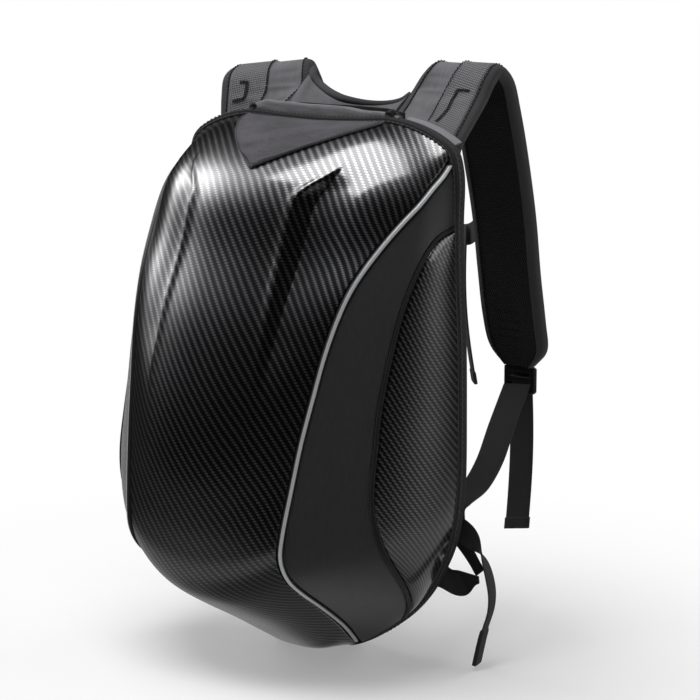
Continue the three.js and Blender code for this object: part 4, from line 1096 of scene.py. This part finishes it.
# Section of the edge tape: shares across from the edge, up and out.
edge_a = np.array([0.088, 0.07, 0.045, 0.02, 0.004, 0.0, 0.0, 0.004, 0.02, 0.045, 0.07, 0.088])
edge_up = np.array([1, 1, 1, 1, 0.9, 0.35, -0.35, -0.9, -1, -1, -1, -1])
edge_out = np.array([0, 0, 0, 0.2, 0.75, 1, 1, 0.75, 0.2, 0, 0, 0])
for side, word in both_sides:
    t = np.linspace(0, 1, 220)[:, None]
    a = np.concatenate([0.1 * (1 - np.cos(np.linspace(0, np.pi / 2, 8)[:-1])), np.linspace(0.1, 0.9, 34),
                        1 - 0.1 * (1 - np.cos(np.linspace(np.pi / 2, 0, 8)[1:]))])[None, :]
    inside = strap_point(word, t, a, -strap_side(t, a) + strap_quilt(t, a))
    pad_grid = two_faces(strap_face(word, t, a, 0.0), inside)
    pad = make_mesh(f"strap_pad_{word}", [pad_grid], strap_mesh)
    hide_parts(f"shoulder_strap_{word}")

    a = np.linspace(0.07, 0.93, 60)[None, :]
    cover = two_faces(*(strap_face(word, t, a, lift) for lift in (0.0007, -0.0001)))
    make_mesh(f"strap_cover_{word}", [cover], strap_cloth)

    tapes = []
    for flip in (False, True):
        across = 1 - edge_a if flip else edge_a
        shell_up = strap_side(t, np.broadcast_to(across, (1, len(edge_a))))
        body = np.sign(edge_up) * shell_up * np.where(np.abs(edge_up) < 0.5, 0.6, 1.0)
        out = 0.012 * edge_out * (1 if flip else -1)
        over = strap_point(word, t, across + out, body + 0.0011 * edge_up)
        under = strap_point(word, t, across, body)
        tapes.append(two_faces(over, under))
    make_mesh(f"strap_edge_tape_{word}", tapes, strap_binding)

    t_facing = np.linspace(facing_start, facing_end, 110)[:, None]
    a_facing = np.linspace(facing_inner, facing_outer, 40)[None, :]
    rim = np.minimum(a_facing - facing_inner, facing_outer - a_facing)
    swell = 0.0004 + 0.0012 * ease(rim, -0.004, 0.02)
    facing = two_faces(*(strap_face(word, t_facing, a_facing, lift) for lift in (swell + 0.0004, 0.0003)))
    patch = make_mesh(f"strap_facing_{word}", [facing], ballistic_cloth)
    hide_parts(f"shoulder_patch_{word}")

    t_line = np.linspace(0.03, 0.97, 300)
    seams = [strap_thread(word, t_line, 0 * t_line + share, 0.0013) for share in (0.080, 0.920)]
    t_line = np.linspace(facing_start, facing_end, 120)
    seams.append(strap_thread(word, t_line, 0 * t_line + facing_inner + 0.012, 0.0022))
    make_mesh(f"strap_stitches_{word}", seams, thread_dark)
    bars = []
    for (t0, a0), (t1, a1) in zip(tack_corners[word], tack_corners[word][1:]):
        line_t, line_a = np.linspace(t0, t1, 40), np.linspace(a0, a1, 40)
        for shift in (-0.004, 0.0, 0.004):
            path = strap_point(word, line_t + shift * (t0 == t1), line_a + 4 * shift * (t0 != t1),
                               strap_side(line_t, line_a) + strap_folds(line_t, line_a) + 0.0021)
            above = strap_point(word, line_t, line_a, strap_side(line_t, line_a) + 0.02)
            bars.append(thread(path, above - path, 0.0024, 0.0005))
    make_mesh(f"strap_bar_tacks_{word}", bars, thread_dark)


# Yoke: cloth and foam that close the gap between the straps, with a piped neck edge and
# ribbed tapes that cover the straps' roots along the pack's top corners.
yoke_thickness = 0.004
neck_radius = 0.0036
neck_tilt = 0.006
tape_width = 0.011
tape_thickness = 0.0015
left_neck_lift = 0.005

# Neck edge from the middle to a strap: across, back and up. The left half is lifted, and
# runs on to a last point on the left strap's inner face.
neck_across, neck_back, neck_up = np.array([(0, 0.065, 0.2), (0.26, 0.093, 0.18), (0.5, 0.15, 0.21),
                                            (0.7, 0.2, 0.3), (0.82, 0.222, 0.43)]).T
left_lift = left_neck_lift * np.sin(np.pi * (neck_across / neck_across[-1]) * 0.8)
neck_halves = [np.stack([side * neck_across * strap_inner_edge, strap_seat + neck_back * strap_reach,
                         pack_height + neck_up * strap_rise - side * neck_across * neck_tilt
                         + (side < 0) * left_lift], -1) for side in (-1, 1)]
neck_end = np.array([-0.95 * strap_inner_edge, strap_seat + 0.30 * strap_reach,
                     pack_height + 0.70 * strap_rise])
neck_line = fair(curve(np.vstack([neck_end, neck_halves[0][::-1], neck_halves[1][1:]]), spans), 0.015)


def yoke_point(share, climb, lift):
    """A point of the yoke: a share along the neck edge, a share of the climb from the back
    panel to that edge as a parabola through its knee, and a lift off the middle layer."""
    share, climb, lift = np.broadcast_arrays(share, climb, lift)
    top = along(neck_line, share)
    seat = back_pad_depth + 0.00035 + yoke_thickness / 2
    base = np.stack([top[..., 0], 0 * share + seat, 0 * share + 0.955 * pack_height], -1)
    knee = np.stack([top[..., 0], 0 * share + seat, 0 * share + 0.982 * pack_height], -1)
    middle = 2 * knee - (base + top) / 2
    c = climb[..., None]
    point = (1 - c) ** 2 * base + 2 * c * (1 - c) * middle + c * c * top
    tangent = unit((1 - c) * (middle - base) + c * (top - middle))
    way = np.stack([0 * share, -tangent[..., 2], tangent[..., 1]], -1)
    return point + unit(way) * lift[..., None]


yoke_cloth = brushed_cloth("grey_yoke_cloth", "#4e4d50", "#5c5b60", 0.0014)
share = np.linspace(0, 1, 120)[:, None]
climb = np.linspace(0, 1, 30)[None, :]
ends = 1 - ease(np.minimum(share, 1 - share), 0, 0.3)
dome = np.sin(np.pi * climb)
puffs = 0.0012 * dome ** 0.7 + 0.0011 * ends * np.sin(26 * share + 5 * climb) * dome
yoke_grid = two_faces(yoke_point(share, climb, yoke_thickness / 2 + puffs),
                      yoke_point(share, climb, -yoke_thickness / 2))
yoke = make_mesh("yoke_cloth", [yoke_grid], yoke_cloth)
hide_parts("yoke")
neck = along(neck_line, np.linspace(0, 1, 140))
rise = unit(neck - yoke_point(np.linspace(0, 1, 140), 0.9, 0.0))
neck = neck + rise * (neck_radius + 0.0008)
_, side_way, out_way = path_frame(neck, rise)
neck_grid = ring_of(neck, side_way, out_way, neck_radius, 18)
piece = make_mesh("neck_binding_tape", [neck_grid], strap_binding)
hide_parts("neck_binding")


def band(path, across, width, thickness, wide=1.0, thick=1.0, count=36):
    """A flat band along a path: at each station a ring of across times half the width and
    the normal times half the thickness, with small powers that keep the faces flat."""
    tangent = unit(np.gradient(path, axis=0))
    across = np.broadcast_to(np.asarray(across, float), path.shape)
    across = unit(across - (across * tangent).sum(1, keepdims=True) * tangent)
    normal = np.cross(tangent, across)
    ring_x, ring_y = rounded(count, 0.55, 0.3)
    half_w = np.broadcast_to(width / 2 * np.asarray(wide, float), (len(path),))[:, None]
    half_t = np.broadcast_to(thickness / 2 * np.asarray(thick, float), (len(path),))[:, None]
    return (path[:, None] + (half_w * ring_x[None])[..., None] * across[:, None]
            + (half_t * ring_y[None])[..., None] * normal[:, None])


tape_cloth = grosgrain("grey_ribbed_tape", "#575659", "#a5a3a8", 0.0014, 0.0005)
tape_share = np.linspace(0.125, 0.208, 90)
tape_way = unit(along(outline_line, tape_share + 0.002) - along(outline_line, tape_share - 0.002))
tape_path = outline(tape_share, 0) + (binding_proud + 0.00035 + tape_thickness) * np.stack(
    [-tape_way[:, 2], 0 * tape_share, tape_way[:, 0]], -1)
tape_path[:, 1] = 0.00035 + tape_width / 2
for side, word in both_sides:
    grid = band(mirrored(tape_path, side), (0, 1, 0.25), tape_width, tape_thickness)
    piece = make_mesh(f"root_tape_{word}_ribbed", [grid], tape_cloth)
    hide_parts(f"root_tape_{word}")


# Slides: three-bar ladder locks moulded in black acetal, with rounded bars and a grip lip.
buckle_width = 0.035
buckle_slot = 0.0034
buckle_height = 0.026
buckle_thickness = 0.006
buckle_lean = 0.0015


def moulded_plastic(name, dark, light, roughness):
    """Spark-eroded acetal: a fine pebble in the surface, slightly paler where it is worn."""
    material, tree = start_material(name)
    place = add_node(tree, "TexCoord")
    pebble = add_node(tree, "TexNoise", {"Vector": (place, "Object"), "Scale": 1400, "Detail": 2})
    worn = add_node(tree, "TexNoise", {"Vector": (place, "Object"), "Scale": 90, "Detail": 4})
    tone = add_node(tree, "Mix", {0: (worn, "Fac"), 6: linear(dark), 7: linear(light)}, data_type="RGBA")
    finish_material(tree, (tone, 2), (pebble, "Fac"), 0.00005, roughness, **{"IOR": 1.48})
    return material


def bar(start, end, high, deep, lean=(0, 0, 1)):
    """A straight moulded bar between two points with a rounded oblong section, closed to a
    round at its ends as the square root of 1 - (2s - 1)^20."""
    share = np.linspace(0, 1, 22)
    path = blend(np.array(start, float), np.array(end, float), share[:, None])
    full = np.maximum((1 - np.abs(2 * share - 1) ** 20) ** 0.5, 0.08)
    tangent = unit(np.gradient(path, axis=0))
    up = unit(np.array(lean, float) - (tangent * lean).sum(1, keepdims=True) * tangent)
    out = np.cross(tangent, up)
    ring_x, ring_y = rounded(20, 0.6, 0.6)
    return (path[:, None] + (high / 2 * full[:, None] * ring_x)[..., None] * up[:, None]
            + (deep / 2 * full[:, None] * ring_y)[..., None] * out[:, None])


acetal = moulded_plastic("black_acetal", "#0b0b0c", "#1a1a1b", 0.38)
strap_tip = strap_point("right", np.array(1.0), np.array(0.5), np.array(0.0))
buckle_centre = strap_tip + (0, buckle_lean, -buckle_height / 2 - 0.0007)
bar_height = (buckle_height - 2 * buckle_slot) / 3
bar_inset = 0.0004
half_w, half_h = buckle_width / 2, buckle_height / 2
lock_bars = []
for level, deep in ((half_h - bar_height / 2, 0.0052), (0, 0.0044), (bar_height / 2 - half_h, 0.006)):
    bar_ends = [buckle_centre + (edge * (half_w - bar_inset), 0, level) for edge in (-1, 1)]
    lock_bars.append(bar(*bar_ends, bar_height, deep))
for side in (-1, 1):
    place = side * (half_w - bar_height / 2)
    bar_ends = [buckle_centre + (place, 0, end * (half_h - bar_inset)) for end in (-1, 1)]
    lock_bars.append(bar(*bar_ends, bar_height, 0.0058, (1, 0, 0)))
for side, word in both_sides:
    grids = [mirrored(grid, side) for grid in lock_bars]
    piece = make_mesh(f"ladder_lock_{word}", grids, acetal)
    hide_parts(f"ladder_buckle_{word}")


# Adjusting webbing: 29 mm polyester webbing from the slide to the pack's side, and its free
# end, which hangs behind the slide and is folded over and sewn at its foot.
webbing_width = 0.029
webbing_thickness = 0.0018
webbing_side = 0.133
webbing_anchor = 0.145
tail_length = 0.152
tail_fold = 0.011
webbing_cloth = grosgrain("black_polyester_webbing", "#222223", "#2f2f30", 0.0013, 0.0001)
start = buckle_centre + (0, -(buckle_thickness / 2 + 0.00035 + webbing_thickness), -buckle_height / 6)
end = np.array([webbing_side, back_pad_depth + 3.5 * 0.00035 + webbing_thickness, webbing_anchor])
mids = [blend(start, end, np.array(row)) for row in ((0.18, 0.22, 0.4), (0.5, 0.45, 0.74), (0.74, 0.68, 0.95),
                                                     (0.95, 0.93, 1.03))]
webbing_path = fair(curve(np.vstack([start, *mids, end - (0, 0, 0.2 * webbing_width),
                                     end - (0, 0, 0.5 * webbing_width)]), spans), 0.012)
webbing_path = along(webbing_path, np.linspace(0, 1, 120))
tail_top = buckle_centre + (-0.004, buckle_thickness / 2 + 0.00056 + webbing_thickness, buckle_height / 4)
fold_share = tail_fold / tail_length
tail_share = np.concatenate([np.linspace(0, 1 - fold_share, 60),
                             1 - fold_share + np.linspace(0.0001, fold_share, 16)])
tail_path = tail_top + np.stack([-0.002 * tail_share, 0.005 * np.sin(np.pi * tail_share),
                                 -tail_length * tail_share], -1)
tail_lean = 0.2
tail_wide = 1 + 0.05 * ease(tail_share, 1 - fold_share, 1 - 0.97 * fold_share)
tail_thick = 1 + 1.3 * ease(tail_share, 1 - fold_share, 1 - 0.96 * fold_share)
for side, word in both_sides:
    grid = band(mirrored(webbing_path, side), (1, 0, 0), webbing_width, webbing_thickness)
    piece = make_mesh(f"adjusting_webbing_{word}", [grid], webbing_cloth)
    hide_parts(f"strap_webbing_{word}")
    grid = band(mirrored(tail_path, side), (side, -0.12, 0), webbing_width, webbing_thickness,
                tail_wide, tail_thick)
    middle = grid[..., 0].mean(1, keepdims=True)
    grid[..., 2] += tail_lean * side * (grid[..., 0] - middle) * ease(tail_share, 0.2, 1)[:, None]
    piece = make_mesh(f"webbing_tail_{word}", [grid], webbing_cloth)
    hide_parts(f"strap_tail_{word}")


# Sternum strap: narrower webbing from pad to pad, with a side-release buckle in the middle
# and a spare end that hangs down on the right.
sternum_width = 0.020
sternum_drop = 0.158
sternum_bow = 0.026
sternum_sag = 0.008
sternum_buckle_length = 0.046
sternum_buckle_width = 0.027
sternum_buckle_thickness = 0.009
sternum_tail_length = 0.150
sternum_seat = strap_point("right", np.array(0.715), np.array(0.0), np.array(0.0))
sternum_height = strap_top - sternum_drop
sternum_middle = np.array([0, sternum_seat[1] + sternum_bow, sternum_height - sternum_sag])
share = np.linspace(0, 1, 60)
start = np.array([sternum_seat[0] - 0.00035 - webbing_thickness, sternum_seat[1], sternum_height])
end = np.array([sternum_buckle_length / 2 + 0.0007, sternum_middle[1], sternum_middle[2]])
sternum_path = blend(start, end, share[:, None]) + np.stack(
    [0 * share, sternum_bow * 0.15 * np.sin(np.pi * share), -sternum_sag * 0.4 * np.sin(np.pi * share)], -1)
for side, word in both_sides:
    grid = band(mirrored(sternum_path, side), (0, 0, 1), sternum_width, webbing_thickness)
    piece = make_mesh(f"chest_webbing_{word}", [grid], webbing_cloth)
    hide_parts(f"sternum_webbing_{word}")
full = np.maximum((1 - np.abs(2 * share - 1) ** 14) ** 0.5, 0.1)
waist = 0.82 + 0.18 * np.abs(np.cos(np.pi * share)) - 0.10 * np.exp(-((share - 0.55) / 0.03) ** 2)
path = sternum_middle + np.stack([sternum_buckle_length * (share - 0.5), 0 * share, 0 * share], -1)
body = band(path, (0, 0, 1), sternum_buckle_width, sternum_buckle_thickness, waist * full,
            full * (1 - 0.12 * (share > 0.6)))
prongs = [bar(sternum_middle + (0.004, 0, edge * 0.0095), sternum_middle + (-0.014, 0, edge * 0.0118),
              0.004, 0.0065) for edge in (-1, 1)]
piece = make_mesh("side_release_buckle", [body, *prongs], acetal)
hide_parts("sternum_buckle")
top = np.array([(sternum_seat[0] + sternum_buckle_length / 2) / 2 + 0.002, sternum_middle[1] - 0.0151,
                sternum_height + 0.002])
hem_from = 1 - tail_fold / sternum_tail_length
share = np.concatenate([np.linspace(0, hem_from, 60), np.linspace(hem_from, 1, 15)[1:]])
path = top + np.stack([0.002 * share, -sternum_sag * np.sin(np.pi * share) + 0.014 * share,
                       -sternum_tail_length * share], -1)
thick = 1 + ease(share, hem_from, hem_from + 0.003)
grid = band(path, (0.75, -0.66, 0), 0.8 * sternum_width, webbing_thickness, 1.0, thick)
piece = make_mesh("chest_webbing_tail", [grid], webbing_cloth)
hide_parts("sternum_tail")


# Hip belt ends: a cloth wing sewn to the back panel, and a webbing that hangs past its tip
# in a twist, with its end folded over and sewn.
hip_webbing_width = 0.022
hip_wing_length = 0.066
hip_wing_width = 0.036
hip_wing_thickness = 0.003
hip_height = 0.072
hip_root = 0.096
hip_flap_width = 0.016
hip_flap_thickness = 0.0016

# Hip webbing from root to end: across from the wing's tip, back, share of its drop, and
# share of the tuck that sets the left one further in.
hip_rows = np.array([(-0.042, 0, 0.017, 0), (-0.022, 0, 0.03, 0), (-0.001, 0.002, 0.17, 0),
                     (0.011, 0.003, 0.42, 0), (0.013, 0.001, 0.58, 0.5), (0.009, -0.005, 0.78, 1),
                     (0.005, -0.009, 1, 1)])
hip_tail_height = 0.124
hip_tail_clearance = 0.0045
hip_tuck = 0.030
wing_cloth = plain_cloth("black_wing_cloth", ("#121213", "#242425"), 0.0012, 0.0002)
for side, word in both_sides:
    share = np.linspace(0, 1, 50)
    path = np.stack([hip_root + hip_wing_length * share, back_pad_depth + 0.00035 + hip_wing_thickness / 2
                     + 0.004 * share ** 2, hip_height + 0.008 * share], -1)
    path[:, 2] += 0.004 * np.sin(7.5 * share) - 0.006 * share ** 3
    path[:, 1] += 0.003 * np.sin(6 * share) * share
    soft = 1 - 0.48 * share - 0.30 * ease(share, 0.72, 1) + 0.05 * np.sin(10 * share)
    fold = 1 + 0.5 * np.exp(-((share - 0.8) / 0.05) ** 2)
    wing = band(mirrored(path, side), (0, -0.25 * side, 1), hip_wing_width, hip_wing_thickness, soft, fold)
    piece = make_mesh(f"hip_wing_cloth_{word}", [wing], wing_cloth)
    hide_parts(f"hip_wing_{word}")
    share = np.linspace(0, 1, 44)
    path = np.stack([hip_root + 0.012 + 0.050 * share, back_pad_depth + 0.006 + 0.006 * share,
                     hip_height + 0.054 - 0.044 * share ** 1.5], -1)
    path[:, 1] += 0.003 * np.sin(3.1 * share)
    flap = band(mirrored(path, side), (0.6 * side, -0.1, 1), hip_flap_width, hip_flap_thickness,
                1 - 0.3 * share ** 2, 1 + 0.7 * ease(share, 0.9, 0.92))
    make_mesh(f"hip_wing_flap_{word}", [flap], wing_cloth)
    tip = hip_root + hip_wing_length
    layer = back_pad_depth + 2.6 * webbing_thickness + 0.0007
    tuck = 0 if side > 0 else hip_tuck
    rows = np.stack([tip + hip_rows[:, 0] - tuck * hip_rows[:, 3], layer + hip_rows[:, 1],
                     blend(hip_tail_height, hip_tail_clearance, hip_rows[:, 2])], -1)
    share = np.linspace(0, 1, 110)
    path = mirrored(along(fair(curve(rows, spans), 0.012), share), side)
    turn = ease(share, 0.18, 0.5)
    twist = np.stack([0.35 * side * turn, -0.93 * turn, 1 - turn], -1)
    grid = band(path, twist, hip_webbing_width, webbing_thickness, 1.0, 1 + 1.4 * ease(share, 0.8, 0.81))
    piece = make_mesh(f"hip_belt_webbing_{word}", [grid], webbing_cloth)
    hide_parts(f"hip_webbing_{word}")
